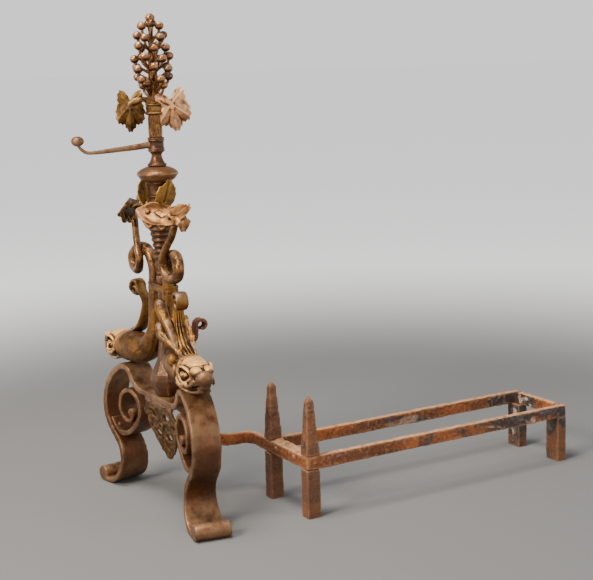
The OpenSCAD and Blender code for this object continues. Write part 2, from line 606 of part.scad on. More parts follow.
// ---- Swivel arm ----
sleeve_z0 = journal_z0 + 0.3;
sleeve_z1 = journal_z1 - 0.3;
arm_z = (sleeve_z0 + sleeve_z1) / 2;
module swivel_sleeve() color(bronze_brown) at_column()
    difference() {
        rotate_extrude() polygon(concat([[0, sleeve_z0]], bead(sleeve_z0, sleeve_r - 1, 2.4),
            bead(sleeve_z0 + 2.4, sleeve_r - 1, 2.4), [[sleeve_r - 1, sleeve_z0 + 5.4],
            [sleeve_r - 1, sleeve_z1 - 5.4]], bead(sleeve_z1 - 4.8, sleeve_r - 1, 2.4),
            bead(sleeve_z1 - 2.4, sleeve_r - 1, 2.4), [[0, sleeve_z1]]));
        translate([0, 0, sleeve_z0 - 1]) cylinder(h = 30, r = journal_r + running_gap);
    }
ball_y = ball_r - arm_reach;
ball_z = arm_z + 10;
module swivel_arm() color(bronze_brown) at_column()
    limb([[0, -sleeve_r + 1.6, arm_z, arm_root_r, arm_root_r],
          [0, -32, arm_z - 2.2, 4, 4], [0, -62, arm_z - 4.2, 3.2, 3.2],
          [0, -86, arm_z - 5.6, 2.6, 2.6], [0, -97, arm_z - 5, 2.3, 2.3],
          [0, -104.5, arm_z, arm_tip_r, arm_tip_r], [0, ball_y, ball_z - 4, arm_tip_r, arm_tip_r]],
         steps = 4, sides = 12, side_way = [1, 0, 0]);
module arm_ball() color(bronze_brown) at_column()
    translate([0, ball_y, ball_z]) scale([1, 1, 0.78]) sphere(ball_r, $fn = 48);

left_leg();
right_leg();
left_volute();
right_volute();
volute_rivets();
apron();
apron_rail();
apron_rivets();
core_rod();
rod_nut();
baluster();
binding_collar();
ringed_cone();
leaf_socket();
knop_disc();
swivel_neck();
upper_post();
post_collar();
left_vine_leaf();
right_vine_leaf();
grape_stalk();
grape_twigs();
grapes();
left_dolphin();
right_dolphin();
left_crest();
right_crest();
left_tail();
right_tail();
left_tail_leaf();
right_tail_leaf();
left_upright_leaf();
right_upright_leaf();
rear_hook();
stem_bar();
stem_rivets();
front_bar();
near_side_bar();
far_side_bar();
rear_bar();
near_front_post();
far_front_post();
near_rear_leg();
far_rear_leg();
swivel_sleeve();
swivel_arm();
arm_ball();
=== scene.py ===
import logging
import math
from dataclasses import dataclass, field
from enum import Enum
from itertools import product

import bpy
import numpy as np
from mathutils import Matrix, Vector


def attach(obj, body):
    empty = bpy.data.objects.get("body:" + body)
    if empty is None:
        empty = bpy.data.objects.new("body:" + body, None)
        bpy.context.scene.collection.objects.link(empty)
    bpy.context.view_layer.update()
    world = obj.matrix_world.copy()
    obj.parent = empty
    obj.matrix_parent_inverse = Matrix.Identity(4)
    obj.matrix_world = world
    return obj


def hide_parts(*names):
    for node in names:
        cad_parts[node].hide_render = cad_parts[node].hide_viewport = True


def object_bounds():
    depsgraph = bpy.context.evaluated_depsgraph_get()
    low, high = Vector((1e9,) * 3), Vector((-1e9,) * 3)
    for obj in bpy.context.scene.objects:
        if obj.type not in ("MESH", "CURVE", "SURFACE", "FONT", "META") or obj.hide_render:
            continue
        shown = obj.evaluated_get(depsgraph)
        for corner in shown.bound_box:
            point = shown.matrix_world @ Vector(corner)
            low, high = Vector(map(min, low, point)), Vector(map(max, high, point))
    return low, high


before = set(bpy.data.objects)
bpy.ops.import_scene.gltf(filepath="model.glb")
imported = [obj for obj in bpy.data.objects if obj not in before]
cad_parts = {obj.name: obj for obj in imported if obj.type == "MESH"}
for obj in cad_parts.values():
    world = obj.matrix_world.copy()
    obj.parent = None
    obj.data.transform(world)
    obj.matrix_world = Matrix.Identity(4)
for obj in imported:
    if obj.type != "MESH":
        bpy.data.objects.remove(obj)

CAD_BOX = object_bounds()
log = logging.getLogger("andiron")

# Sizes are millimetres about the column's own axis, as in the part's source.
# The column stands this far forward of the middle of the whole object.
COLUMN_Y = -221.5
Array = np.ndarray
Knots = list[list[float]]
UP = np.array([0.0, 0.0, 1.0])
MM_PER_METRE = 1000
# Large odd numbers that scramble a cell's place into an even, repeatable value.
SCRAMBLE = (73856093, 19349663, 83492791, 374761393, 1274126177)
# Angle left open at a ball's poles, where its first and last ring close it.
POLE_GAP = 0.08
# Relief is read twice while a copy of the skin softens: after round FINE_ROUND, counted from 0, and
# after the last one. A lift of FINE_LIFT, or at the end BROAD_LIFT, in millimetres counts as 1.
FINE_ROUND = 5
FINE_LIFT = 0.4
BROAD_LIFT = 1.3


# ---- Curves and small sums ----
def smooth(knots: Knots, steps: int) -> Array:
    """Draws a smooth curve through a few knots.

    Args:
        knots: places, each with any further values that vary along the curve.
        steps: places made between each pair of knots.

    Returns:
        One row for each place on the curve.
    """
    k = np.array(knots, float)
    k = np.vstack([k[:1], k, k[-1:]])
    t = np.arange(steps)[:, None] / steps
    rows = []
    for a, b, c, d in zip(k[:-3], k[1:-2], k[2:-1], k[3:]):
        rows.append((2 * b + (c - a) * t + (2 * a - 5 * b + 4 * c - d) * t**2
                     + (3 * b - a - 3 * c + d) * t**3) / 2)
    return np.vstack([*rows, k[-1:]])


def unit(v: Array) -> Array:
    """Returns the vectors scaled to a length of one."""
    return v / np.maximum(np.linalg.norm(v, axis=-1, keepdims=True), 1e-9)


def along(path: Array) -> Array:
    """Returns the direction of travel at each place of a path."""
    padded = np.vstack([path[:1], path, path[-1:]])[:, :3]
    return unit(padded[2:] - padded[:-2])


def turned(points: Array, degrees: float) -> Array:
    """Returns the points turned about the column's axis."""
    a = math.radians(degrees)
    return points @ np.array([[math.cos(a), math.sin(a), 0], [-math.sin(a), math.cos(a), 0], [0, 0, 1]])


def grain(points: Array, size: float, seed: int) -> Array:
    """Gives an even, repeatable unevenness in space.

    Args:
        points: places in millimetres.
        size: distance between its hills in millimetres.
        seed: picks one of many such fields.

    Returns:
        A value between -1 and 1 for each place.
    """
    q = points / size + seed * 7.31
    cell = np.floor(q).astype(np.int64)
    t = q - cell
    t = t * t * (3 - 2 * t)
    total = np.zeros(len(q))
    for corner in product((0, 1), repeat=3):
        h = cell + np.array(corner)
        n = (h[:, 0] * SCRAMBLE[0]) ^ (h[:, 1] * SCRAMBLE[1]) ^ (h[:, 2] * SCRAMBLE[2]) ^ (seed * SCRAMBLE[3])
        n = ((n ^ (n >> 13)) * SCRAMBLE[4]) & 0xFFFFFFFF
        n = (n ^ (n >> 15)) & 0xFFFF
        weight = np.prod(np.where(np.array(corner) == 1, t, 1 - t), axis=1)
        total += (n / 32767.5 - 1) * weight
    return total


def from_line(points: Array, line: Array) -> Array:
    """Measures how far each point lies from a chain of straight runs.

    Args:
        points: places in millimetres.
        line: the chain's corners in order.

    Returns:
        One distance for each point.
    """
    best = np.full(len(points), 1e9)
    for a, b in zip(line[:-1], line[1:]):
        d = b - a
        t = np.clip((points - a) @ d / max(d @ d, 1e-9), 0, 1)
        best = np.minimum(best, np.linalg.norm(points - a - t[:, None] * d, axis=1))
    return best


# ---- Raw forms, before they are worked ----
@dataclass
class Form:
    """A closed mesh in millimetres."""

    points: Array
    faces: list[tuple[int, ...]]

    @classmethod
    def of_node(cls, *nodes: str) -> "Form":
        """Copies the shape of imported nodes.

        Args:
            nodes: names of the nodes, taken together.

        Returns:
            Their shape in millimetres about the column.
        """
        forms = []
        for node in nodes:
            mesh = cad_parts[node].data
            co = np.zeros(len(mesh.vertices) * 3)
            mesh.vertices.foreach_get("co", co)
            points = co.reshape(-1, 3) * MM_PER_METRE - [0, COLUMN_Y, 0]
            forms.append(cls(points, [tuple(p.vertices) for p in mesh.polygons]))
        return cls.joined(forms)

    def grown(self, by: float) -> "Form":
        """Makes the form a little larger on every side, so that it welds to what it touches.

        Args:
            by: growth of each side in millimetres.

        Returns:
            The larger form.
        """
        low, high = self.points.min(0), self.points.max(0)
        middle, half = (low + high) / 2, (high - low) / 2
        return Form(middle + (self.points - middle) * (half + by) / half, self.faces)

    @classmethod
    def joined(cls, forms: list["Form"]) -> "Form":
        """Puts several forms into one list of points and faces.

        Args:
            forms: the forms, which may overlap.

        Returns:
            All of them as one form.
        """
        points, faces, start = [], [], 0
        for f in forms:
            points.append(f.points)
            faces += [tuple(i + start for i in face) for face in f.faces]
            start += len(f.points)
        return cls(np.vstack(points), faces)

    @classmethod
    def block(cls, low: tuple[float, float, float], high: tuple[float, float, float]) -> "Form":
        """Makes a plain block, to fill a weld before it is fused and worked.

        Args:
            low: lowest corner.
            high: highest corner.

        Returns:
            The block.
        """
        points = np.array([[(low, high)[bit][axis] for axis, bit in enumerate(bits)]
                           for bits in product((0, 1), repeat=3)])
        faces = [(0, 1, 3, 2), (4, 6, 7, 5), (0, 4, 5, 1), (2, 3, 7, 6), (0, 2, 6, 4), (1, 5, 7, 3)]
        return cls(points.astype(float), faces)

    @classmethod
    def of_rings(cls, rings: Array) -> "Form":
        """Skins a row of rings and closes both ends.

        Args:
            rings: array of rings, points of a ring, and three coordinates.

        Returns:
            The closed form.
        """
        m, n = rings.shape[:2]
        faces = [(i * n + j, (i + 1) * n + j, (i + 1) * n + (j + 1) % n, i * n + (j + 1) % n)
                 for i in range(m - 1) for j in range(n)]
        faces += [tuple(range(n)), tuple((m - 1) * n + j for j in range(n - 1, -1, -1))]
        return cls(rings.reshape(-1, 3), faces)

    @classmethod
    def limb(cls, knots: Knots, steps: int = 8, sides: int = 20,
             side_way: tuple[float, float, float] = (0, 1, 0), roll: float = 1.0) -> "Form":
        """Makes a round limb along a curve.

        Args:
            knots: x, y, z, half height and half width of each knot.
            steps: rings between each pair of knots.
            sides: points in a ring.
            side_way: direction that the half width lies along.
            roll: below 1 the section is squarer, above 1 it is pinched.

        Returns:
            The limb, closed at both ends.
        """
        path = smooth(knots, steps)
        t = along(path)
        b = unit(np.array(side_way, float) - t * (t @ np.array(side_way, float))[:, None])
        n = np.cross(b, t)
        a = np.arange(sides) * 2 * math.pi / sides
        c, s = np.cos(a), np.sin(a)
        c, s = np.sign(c) * np.abs(c) ** roll, np.sign(s) * np.abs(s) ** roll
        rings = (path[:, None, :3] + n[:, None] * (path[:, 3, None] * c)[..., None]
                 + b[:, None] * (path[:, 4, None] * s)[..., None])
        return cls.of_rings(rings)

    @classmethod
    def ball(cls, centre: tuple[float, float, float], radii: tuple[float, float, float],
             sides: int = 24) -> "Form":
        """Makes an egg-shaped lump.

        Args:
            centre: its middle.
            radii: its three half sizes.
            sides: points round its middle.

        Returns:
            The lump.
        """
        a = np.linspace(POLE_GAP, math.pi - POLE_GAP, sides // 2)
        b = np.arange(sides) * 2 * math.pi / sides
        rings = np.stack([np.sin(a)[:, None] * np.cos(b), np.sin(a)[:, None] * np.sin(b),
                          np.repeat(np.cos(a)[:, None], sides, 1)], -1)
        return cls.of_rings(rings * np.array(radii) + np.array(centre))

    @classmethod
    def lathe(cls, profile: list[list[float]], sides: int = 96) -> "Form":
        """Turns a closed half section about the column's axis.

        Args:
            profile: radius and height of each corner, in order.
            sides: points in a ring.

        Returns:
            The turning.
        """
        p = np.array(profile, float)
        a = np.arange(sides) * 2 * math.pi / sides
        rings = np.stack([p[:, 0, None] * np.cos(a), p[:, 0, None] * np.sin(a),
                          np.repeat(p[:, 1, None], sides, 1)], -1)
        m, n = rings.shape[:2]
        faces = [(i * n + j, i * n + (j + 1) % n, ((i + 1) % m) * n + (j + 1) % n, ((i + 1) % m) * n + j)
                 for i in range(m) for j in range(n)]
        return cls(rings.reshape(-1, 3), faces)

    def mesh(self, name: str, scale: float = 1.0, shift: float = 0.0) -> bpy.types.Mesh:
        """Makes a Blender mesh of the form.

        Args:
            name: the mesh's name.
            scale: length in the mesh of one millimetre.
            shift: how far the form moves along Y, in millimetres.

        Returns:
            The mesh.
        """
        mesh = bpy.data.meshes.new(name)
        mesh.from_pydata(((self.points + [0, shift, 0]) * scale).tolist(), [], self.faces)
        mesh.update()
        return mesh

    def fused(self, voxel: float) -> "Skin":
        """Welds everything that overlaps into one even skin.

        Args:
            voxel: edge of the skin's faces in millimetres.

        Returns:
            The skin, ready to be worked.
        """
        obj = bpy.data.objects.new("rough", self.mesh("rough"))
        bpy.context.scene.collection.objects.link(obj)
        weld = obj.modifiers.new("weld", "REMESH")
        weld.mode, weld.voxel_size = "VOXEL", voxel
        made = bpy.data.meshes.new_from_object(obj.evaluated_get(bpy.context.evaluated_depsgraph_get()))
        co = np.zeros(len(made.vertices) * 3)
        made.vertices.foreach_get("co", co)
        quads = np.zeros(len(made.loops), np.int64)
        made.loops.foreach_get("vertex_index", quads)
        bpy.data.objects.remove(obj)
        return Skin(co.reshape(-1, 3), quads.reshape(-1, 4))


@dataclass
class Skin:
    """An even mesh of quads that is worked like hot metal. Millimetres about the column."""

    points: Array
    quads: Array
    edges: Array = field(init=False)

    def __post_init__(self) -> None:
        """Finds the edges once, since working the skin never changes them."""
        q = self.quads
        pairs = np.vstack([q[:, [0, 1]], q[:, [1, 2]], q[:, [2, 3]], q[:, [3, 0]]])
        self.edges = np.unique(np.sort(pairs, axis=1), axis=0)

    def _spread(self, values: Array) -> Array:
        """Averages a value over each point's neighbours.

        Args:
            values: one row for each point.

        Returns:
            The means, one row for each point.
        """
        a, b = self.edges.T
        count = np.bincount(a, minlength=len(values)) + np.bincount(b, minlength=len(values))
        out = np.stack([np.bincount(a, values[b, k], len(values)) + np.bincount(b, values[a, k], len(values))
                        for k in range(values.shape[1])], 1)
        return out / np.maximum(count, 1)[:, None]

    def normals(self) -> Array:
        """Works out the outward direction at each point.

        Returns:
            One direction for each point.
        """
        p, q = self.points, self.quads
        n = np.cross(p[q[:, 2]] - p[q[:, 0]], p[q[:, 3]] - p[q[:, 1]])
        total = np.stack([sum(np.bincount(q[:, c], n[:, k], len(p)) for c in range(4)) for k in range(3)], 1)
        return unit(total)

    def relaxed(self, rounds: int, share: float = 0.5) -> "Skin":
        """Softens the skin's edges.

        Args:
            rounds: how often the skin is softened.
            share: how far a round carries a point towards its neighbours' mean.

        Returns:
            The skin.
        """
        for _ in range(rounds):
            self.points += share * (self._spread(self.points) - self.points)
        return self

    def pushed(self, amount: Array) -> "Skin":
        """Moves each point outward by an amount and returns the skin."""
        self.points = self.points + self.normals() * amount[:, None]
        return self

    def hammered(self, size: float, depth: float, seed: int) -> "Skin":
        """Leaves shallow blows of a given size, deeper than they stand proud."""
        return self.pushed((grain(self.points, size, seed) - 0.3) * depth)

    def traced(self, line: Array, width: float, height: float) -> "Skin":
        """Raises a ridge along a line, or cuts a groove where the height is negative."""
        d = from_line(self.points, line)
        return self.pushed(height * np.exp(-((d / width) ** 2)))

    def drawn(self, line: Array, width: float, height: float, way: int) -> "Skin":
        """Traces a line that is drawn on the flank, whatever the flank's depth there.

        Args:
            line: the line, of which only X and Z count.
            width: width of the ridge or groove.
            height: how far it stands proud. A groove is negative.
            way: -1 for the front flank and 1 for the back one.

        Returns:
            The skin.
        """
        flat = np.array([1.0, 0.0, 1.0])
        d = from_line(self.points * flat, np.asarray(line) * flat)
        facing = np.clip(self.normals()[:, 1] * way * 2.5, 0, 1)
        return self.pushed(height * facing * np.exp(-((d / width) ** 2)))

    def swelled(self, centre: tuple[float, float, float], radius: float, height: float) -> "Skin":
        """Raises a soft lump, or a hollow where the height is negative."""
        d = np.linalg.norm(self.points - np.array(centre), axis=1)
        return self.pushed(height * np.exp(-((d / radius) ** 2)))

    def mirrored(self) -> "Skin":
        """Returns a copy on the other side of the column."""
        return Skin(self.points * [-1, 1, 1], self.quads[:, ::-1].copy())

    def relief(self, rounds: int = 32) -> Array:
        """Tells proud edges from hollows, at a fine and a broad scale.

        Args:
            rounds: rounds of softening that the broad scale is measured against.

        Returns:
            For each point, above 0 where the skin bulges and below 0 where it is sunk.
        """
        soft, total, out = self.points.copy(), np.zeros(len(self.points)), self.normals()
        for k in range(rounds):
            soft += 0.6 * (self._spread(soft) - soft)
            if k in (FINE_ROUND, rounds - 1):
                lift = np.einsum("ij,ij->i", self.points - soft, out)
                lift = self._spread(lift[:, None])[:, 0]
                total += np.clip(lift / (FINE_LIFT if k == FINE_ROUND else BROAD_LIFT), -0.8, 0.8)
        return np.clip(total, -1, 1)


# ---- Materials ----
def linear(code: str) -> tuple[float, float, float, float]:
    """Turns an sRGB hex colour into the linear values that Blender works in.

    Args:
        code: a colour such as "#6b4a35".

    Returns:
        Red, green, blue and an alpha of one.
    """
    parts = [int(code[i:i + 2], 16) / 255 for i in (1, 3, 5)]
    r, g, b = (c / 12.92 if c <= 0.04045 else ((c + 0.055) / 1.055) ** 2.4 for c in parts)
    return r, g, b, 1.0


def add(tree: bpy.types.NodeTree, kind: str, links: dict, **settings: object) -> bpy.types.Node:
    """Adds one node to a material.

    Args:
        tree: the material's node tree.
        kind: Blender's name for the node.
        links: for each input, by name or number, a value or the output that feeds it.
        settings: properties of the node itself.

    Returns:
        The new node.
    """
    node = tree.nodes.new(kind)
    for name, value in settings.items():
        setattr(node, name, value)
    for socket, source in links.items():
        if isinstance(source, bpy.types.NodeSocket):
            tree.links.new(source, node.inputs[socket])
        else:
            node.inputs[socket].default_value = source
    return node


def per_metre(size_mm: float) -> float:
    """Returns the pattern scale that makes a feature of this size in millimetres."""
    return MM_PER_METRE / size_mm


@dataclass
class Coat:
    """The layers of one material while it is being made, from the metal outward."""

    tree: bpy.types.NodeTree
    place: bpy.types.NodeSocket = field(init=False)
    relief: bpy.types.NodeSocket = field(init=False)
    axes: dict[str, bpy.types.NodeSocket] = field(init=False)
    up: bpy.types.NodeSocket = field(init=False)
    colour: bpy.types.NodeSocket | None = None

    def __post_init__(self) -> None:
        """Finds where the surface is, whether it is proud or sunk, and how far it faces up."""
        self.place = add(self.tree, "ShaderNodeTexCoord", {}).outputs["Object"]
        self.relief = add(self.tree, "ShaderNodeAttribute", {}, attribute_name="relief").outputs["Fac"]
        split = add(self.tree, "ShaderNodeSeparateXYZ", {0: self.place})
        self.axes = {letter: split.outputs[letter] for letter in "XYZ"}
        normal = add(self.tree, "ShaderNodeNewGeometry", {}).outputs["Normal"]
        self.up = add(self.tree, "ShaderNodeSeparateXYZ", {0: normal}).outputs["Z"]

    def patches(self, size_mm: float, low: float, high: float, detail: float = 5.0,
                seed: float = 0.0, stretch: float = 0.0,
                place: bpy.types.NodeSocket | None = None) -> bpy.types.NodeSocket:
        """Makes a mask of irregular patches.

        Args:
            size_mm: size of a patch.
            low: noise value where the mask begins.
            high: noise value where the mask is full.
            detail: how ragged the edges are.
            seed: picks one of many such masks.
            stretch: how much the patches are pulled about, for a runny look.
            place: where the surface is, if it isn't to be taken as it is.

        Returns:
            The mask, from 0 to 1.
        """
        noise = add(self.tree, "ShaderNodeTexNoise",
                    {"Vector": self.place if place is None else place, "W": seed, "Scale": per_metre(size_mm),
                     "Detail": detail, "Roughness": 0.62, "Distortion": stretch}, noise_dimensions="4D")
        return add(self.tree, "ShaderNodeMapRange",
                   {0: noise.outputs["Fac"], 1: low, 2: high, 3: 0.0, 4: 1.0},
                   interpolation_type="SMOOTHSTEP").outputs[0]

    def ranged(self, source: bpy.types.NodeSocket, low: float, high: float,
               out_low: float = 0.0, out_high: float = 1.0) -> bpy.types.NodeSocket:
        """Returns a value carried from one range to another and held inside it."""
        return add(self.tree, "ShaderNodeMapRange",
                   {0: source, 1: low, 2: high, 3: out_low, 4: out_high}).outputs[0]

    def times(self, a: bpy.types.NodeSocket, b: bpy.types.NodeSocket | float,
              how: str = "MULTIPLY") -> bpy.types.NodeSocket:
        """Returns two masks taken together."""
        return add(self.tree, "ShaderNodeMath", {0: a, 1: b}, operation=how, use_clamp=True).outputs[0]

    def laid(self, code: str, mask: bpy.types.NodeSocket | float) -> None:
        """Lays a colour over what is there.

        Args:
            code: the colour in sRGB hex.
            mask: where it shows, from 0 to 1.
        """
        below = self.colour if self.colour is not None else linear(code)
        self.colour = add(self.tree, "ShaderNodeMix", {0: mask, 6: below, 7: linear(code)},
                          data_type="RGBA").outputs[2]

    def bumped(self, height: bpy.types.NodeSocket, depth_mm: float, strength: float,
               under: bpy.types.NodeSocket | None = None) -> bpy.types.NodeSocket:
        """Turns a height into a bumpy surface.

        Args:
            height: the height, from 0 to 1.
            depth_mm: depth of the bumps in millimetres.
            strength: how much of the bump shows.
            under: surface that this one lies over.

        Returns:
            The surface's normal.
        """
        links = {"Height": height, "Distance": depth_mm / MM_PER_METRE, "Strength": strength}
        if under is not None:
            links["Normal"] = under
        return add(self.tree, "ShaderNodeBump", links).outputs["Normal"]


def new_material(name: str) -> tuple[bpy.types.Material, bpy.types.NodeTree]:
    """Makes an empty node material.

    Args:
        name: what the finish is.

    Returns:
        The material and its tree.
    """
    material = bpy.data.materials.new(name)
    material.use_nodes = True
    material.node_tree.nodes.clear()
    return material, material.node_tree


def finish_surface(coat: Coat, metallic: bpy.types.NodeSocket | float,
                   roughness: bpy.types.NodeSocket | float, normal: bpy.types.NodeSocket) -> None:
    """Joins the layers of a coat to the material's surface.

    Args:
        coat: the finished coat.
        metallic: how much of it is bare metal.
        roughness: how matt it is.
        normal: its bumpy surface.
    """
    shader = add(coat.tree, "ShaderNodeBsdfPrincipled",
                 {"Base Color": coat.colour, "Metallic": metallic, "Roughness": roughness, "Normal": normal})
    add(coat.tree, "ShaderNodeOutputMaterial", {"Surface": shader.outputs["BSDF"]})


@dataclass(frozen=True)
class BrownWroughtIron:
    """Wrought iron with an old brown patina, forged and rubbed by hands.

    The eye sees a soft satin brown that is never even: cloudy warm and grey patches, painted shade
    in the hollows and on faces that look down, a little paler where edges have been rubbed, a painted
    sheen on a band round the leg tops, with fine hammer scale all over.
    """

    name: str = "brown_wrought_iron"
    ground: str = "#5c391f"
    warm: str = "#75411e"
    dark: str = "#291b10"
    rubbed: str = "#a67e57"
    grey: str = "#6b5039"
    rubbed_share: float = 0.45
    sheen_share: float = 0.0
    sheen_mm: float = 16.0
    rubbed_mm: float = 13.0
    fleck_mm: float = 2.2
    # Painted sheen: heights in metres of a band round the leg tops that is laid paler, standing for light
    # falling on it.
    sheen_z: tuple[float, float] = (0.11, 0.155)
    trodden_z: tuple[float, float] = (0.045, 0.03)
    roughness: float = 0.44
    patch_mm: float = 38.0
    metallic: float = 0.5
    scale_mm: float = 3.4
    # The real grit is too fine to show in the render, so it is drawn coarser.
    grit_mm: float = 1.2

    def material(self) -> bpy.types.Material:
        """Builds the material from the bare iron outward.

        Returns:
            The material.
        """
        made, tree = new_material(self.name)
        coat = Coat(tree)
        coat.laid(self.ground, 1.0)
        coat.laid(self.warm, coat.patches(self.patch_mm, 0.44, 0.66, 4, 1.0))
        coat.laid(self.grey, coat.times(coat.patches(self.patch_mm * 0.7, 0.5, 0.7, 6, 2.0), 0.8))
        coat.laid(self.dark, coat.times(coat.patches(self.scale_mm * 3, 0.52, 0.74, 7, 3.0), 0.5))
        # Painted shade: the sunk hollows are laid dark, where shade gathers.
        coat.laid(self.dark, coat.ranged(coat.relief, -0.12, -0.9, 0.0, 0.75))
        # Painted shade: faces that look down are laid darker.
        coat.laid(self.dark, coat.ranged(coat.up, -0.25, -0.9, 0.0, 0.35))
        level = coat.ranged(coat.up, 0.0, 0.9, 0.35, 1.0)
        trodden = coat.times(coat.ranged(coat.axes["Z"], *self.trodden_z), level)
        # Painted sheen: a band round the leg tops takes the rubbed colour where light falls on the bulge; the
        # paler tops of the feet are dust.
        top_sheen = coat.times(coat.ranged(coat.axes["Z"], *self.sheen_z), 0.8)
        dust_and_sheen = coat.times(coat.times(trodden, top_sheen, "ADD"),
                           coat.patches(self.sheen_mm, 0.3, 0.62, 5, 8.0))
        coat.laid(self.rubbed, coat.times(dust_and_sheen, self.sheen_share))
        rubbing = coat.times(coat.ranged(coat.relief, 0.1, 0.95),
                             coat.patches(self.rubbed_mm, 0.36, 0.68, 6, 4.0))
        coat.laid(self.rubbed, coat.times(rubbing, self.rubbed_share))
        coat.laid(self.rubbed, coat.times(coat.patches(self.fleck_mm, 0.62, 0.74, 4, 7.0), 0.35))
        scale = coat.patches(self.scale_mm, 0.3, 0.75, 5, 5.0)
        grit = coat.patches(self.grit_mm, 0.3, 0.7, 3, 6.0)
        normal = coat.bumped(grit, 0.12, 0.45, coat.bumped(scale, 0.3, 0.5))
        rough = coat.ranged(scale, 0, 1, self.roughness - 0.08, self.roughness + 0.12)
        finish_surface(coat, self.metallic, rough, normal)
        return made


@dataclass(frozen=True)
class GiltIron:
    """Wrought iron that was fire gilt, with the gold worn to brown and to its pale ground.

    The eye sees warm old gold on the sides, a dry pinkish buff where the gold has gone from the proud
    parts that face up, which also stands for painted light on the tops, painted shade on faces that
    look down and nearly black painted shade in the cuts.
    """

    name: str = "worn_gilt_iron"
    ground: str = "#563619"
    gold: str = "#8f5f24"
    bright: str = "#bb8a40"
    bare: str = "#a67b58"
    dark: str = "#21150c"
    gold_share: float = 0.5
    bare_share: float = 0.5
    # Metres out from the middle where the bared ground begins. Below 0 it is everywhere.
    bare_from: float = -1.0
    # Share of the paler bared buff that still reaches upright faces; tops get it all, partly as painted
    # light.
    bare_upright: float = 0.06
    snout: str = "#6b4931"
    # The snout's brown begins where metres out, plus the slope times the height, pass this value.
    snout_from: float = 9.0
    snout_slope: float = -0.9
    # Strength of the painted shade that is laid nearly black in the cuts.
    soot: float = 0.9
    metallic: float = 0.8
    roughness: float = 0.4
    patch_mm: float = 18.0
    glint_mm: float = 5.0
    soot_mm: float = 7.0
    bare_mm: float = 12.0
    pit_mm: float = 4.0
    # The real grit is too fine to show in the render, so it is drawn coarser.
    grit_mm: float = 1.3

    def material(self) -> bpy.types.Material:
        """Builds the material from the worn ground outward.

        Returns:
            The material.
        """
        made, tree = new_material(self.name)
        coat = Coat(tree)
        coat.laid(self.ground, 1.0)
        edge = 0.62 - 0.24 * self.gold_share
        gold = coat.patches(self.patch_mm, edge - 0.1, edge + 0.12, 6, 11.0, 0.6)
        coat.laid(self.gold, gold)
        coat.laid(self.bright, coat.times(coat.patches(self.glint_mm, 0.57, 0.7, 5, 12.0), gold))
        coat.laid(self.dark, coat.times(coat.patches(self.soot_mm, 0.56, 0.76, 6, 13.0), 0.6))
        far = add(tree, "ShaderNodeMath", {0: coat.axes["X"]}, operation="ABSOLUTE").outputs[0]
        # Partly painted light: besides the worn gilt on proud parts, faces that look up are bared paler,
        # standing for light from above.
        level = coat.ranged(coat.up, 0.0, 0.75, self.bare_upright, 1.0)
        worn = coat.times(coat.ranged(coat.relief, -0.3, 0.15), level)
        worn = coat.times(worn, coat.times(coat.ranged(coat.relief, 0.5, 1.0), 0.5), "ADD")
        worn = coat.times(worn, coat.ranged(far, self.bare_from, self.bare_from + 0.02))
        edge = 0.68 - 0.36 * self.bare_share
        bare = coat.times(worn, coat.patches(self.bare_mm, edge - 0.12, edge + 0.1, 6, 14.0))
        coat.laid(self.bare, coat.times(bare, 0.92))
        fall = add(tree, "ShaderNodeMath", {0: coat.axes["Z"], 1: self.snout_slope, 2: far},
                   operation="MULTIPLY_ADD").outputs[0]
        tip = coat.ranged(fall, self.snout_from, self.snout_from + 0.004)
        coat.laid(self.snout, coat.times(tip, 0.85))
        # Painted shade: faces that look down are laid dark.
        coat.laid(self.dark, coat.ranged(coat.up, -0.2, -0.85, 0.0, 0.6))
        # Painted shade: the cuts are laid nearly black, where shade gathers.
        coat.laid(self.dark, coat.times(coat.ranged(coat.relief, -0.1, -0.75), self.soot))
        grit = coat.patches(self.grit_mm, 0.3, 0.72, 4, 15.0)
        pits = coat.patches(self.pit_mm, 0.3, 0.72, 5, 16.0)
        normal = coat.bumped(grit, 0.1, 0.4, coat.bumped(pits, 0.3, 0.45))
        metallic = coat.ranged(bare, 0, 1, self.metallic, self.metallic * 0.35)
        rough = coat.ranged(pits, 0, 1, self.roughness - 0.1, self.roughness + 0.14)
        finish_surface(coat, metallic, rough, normal)
        return made


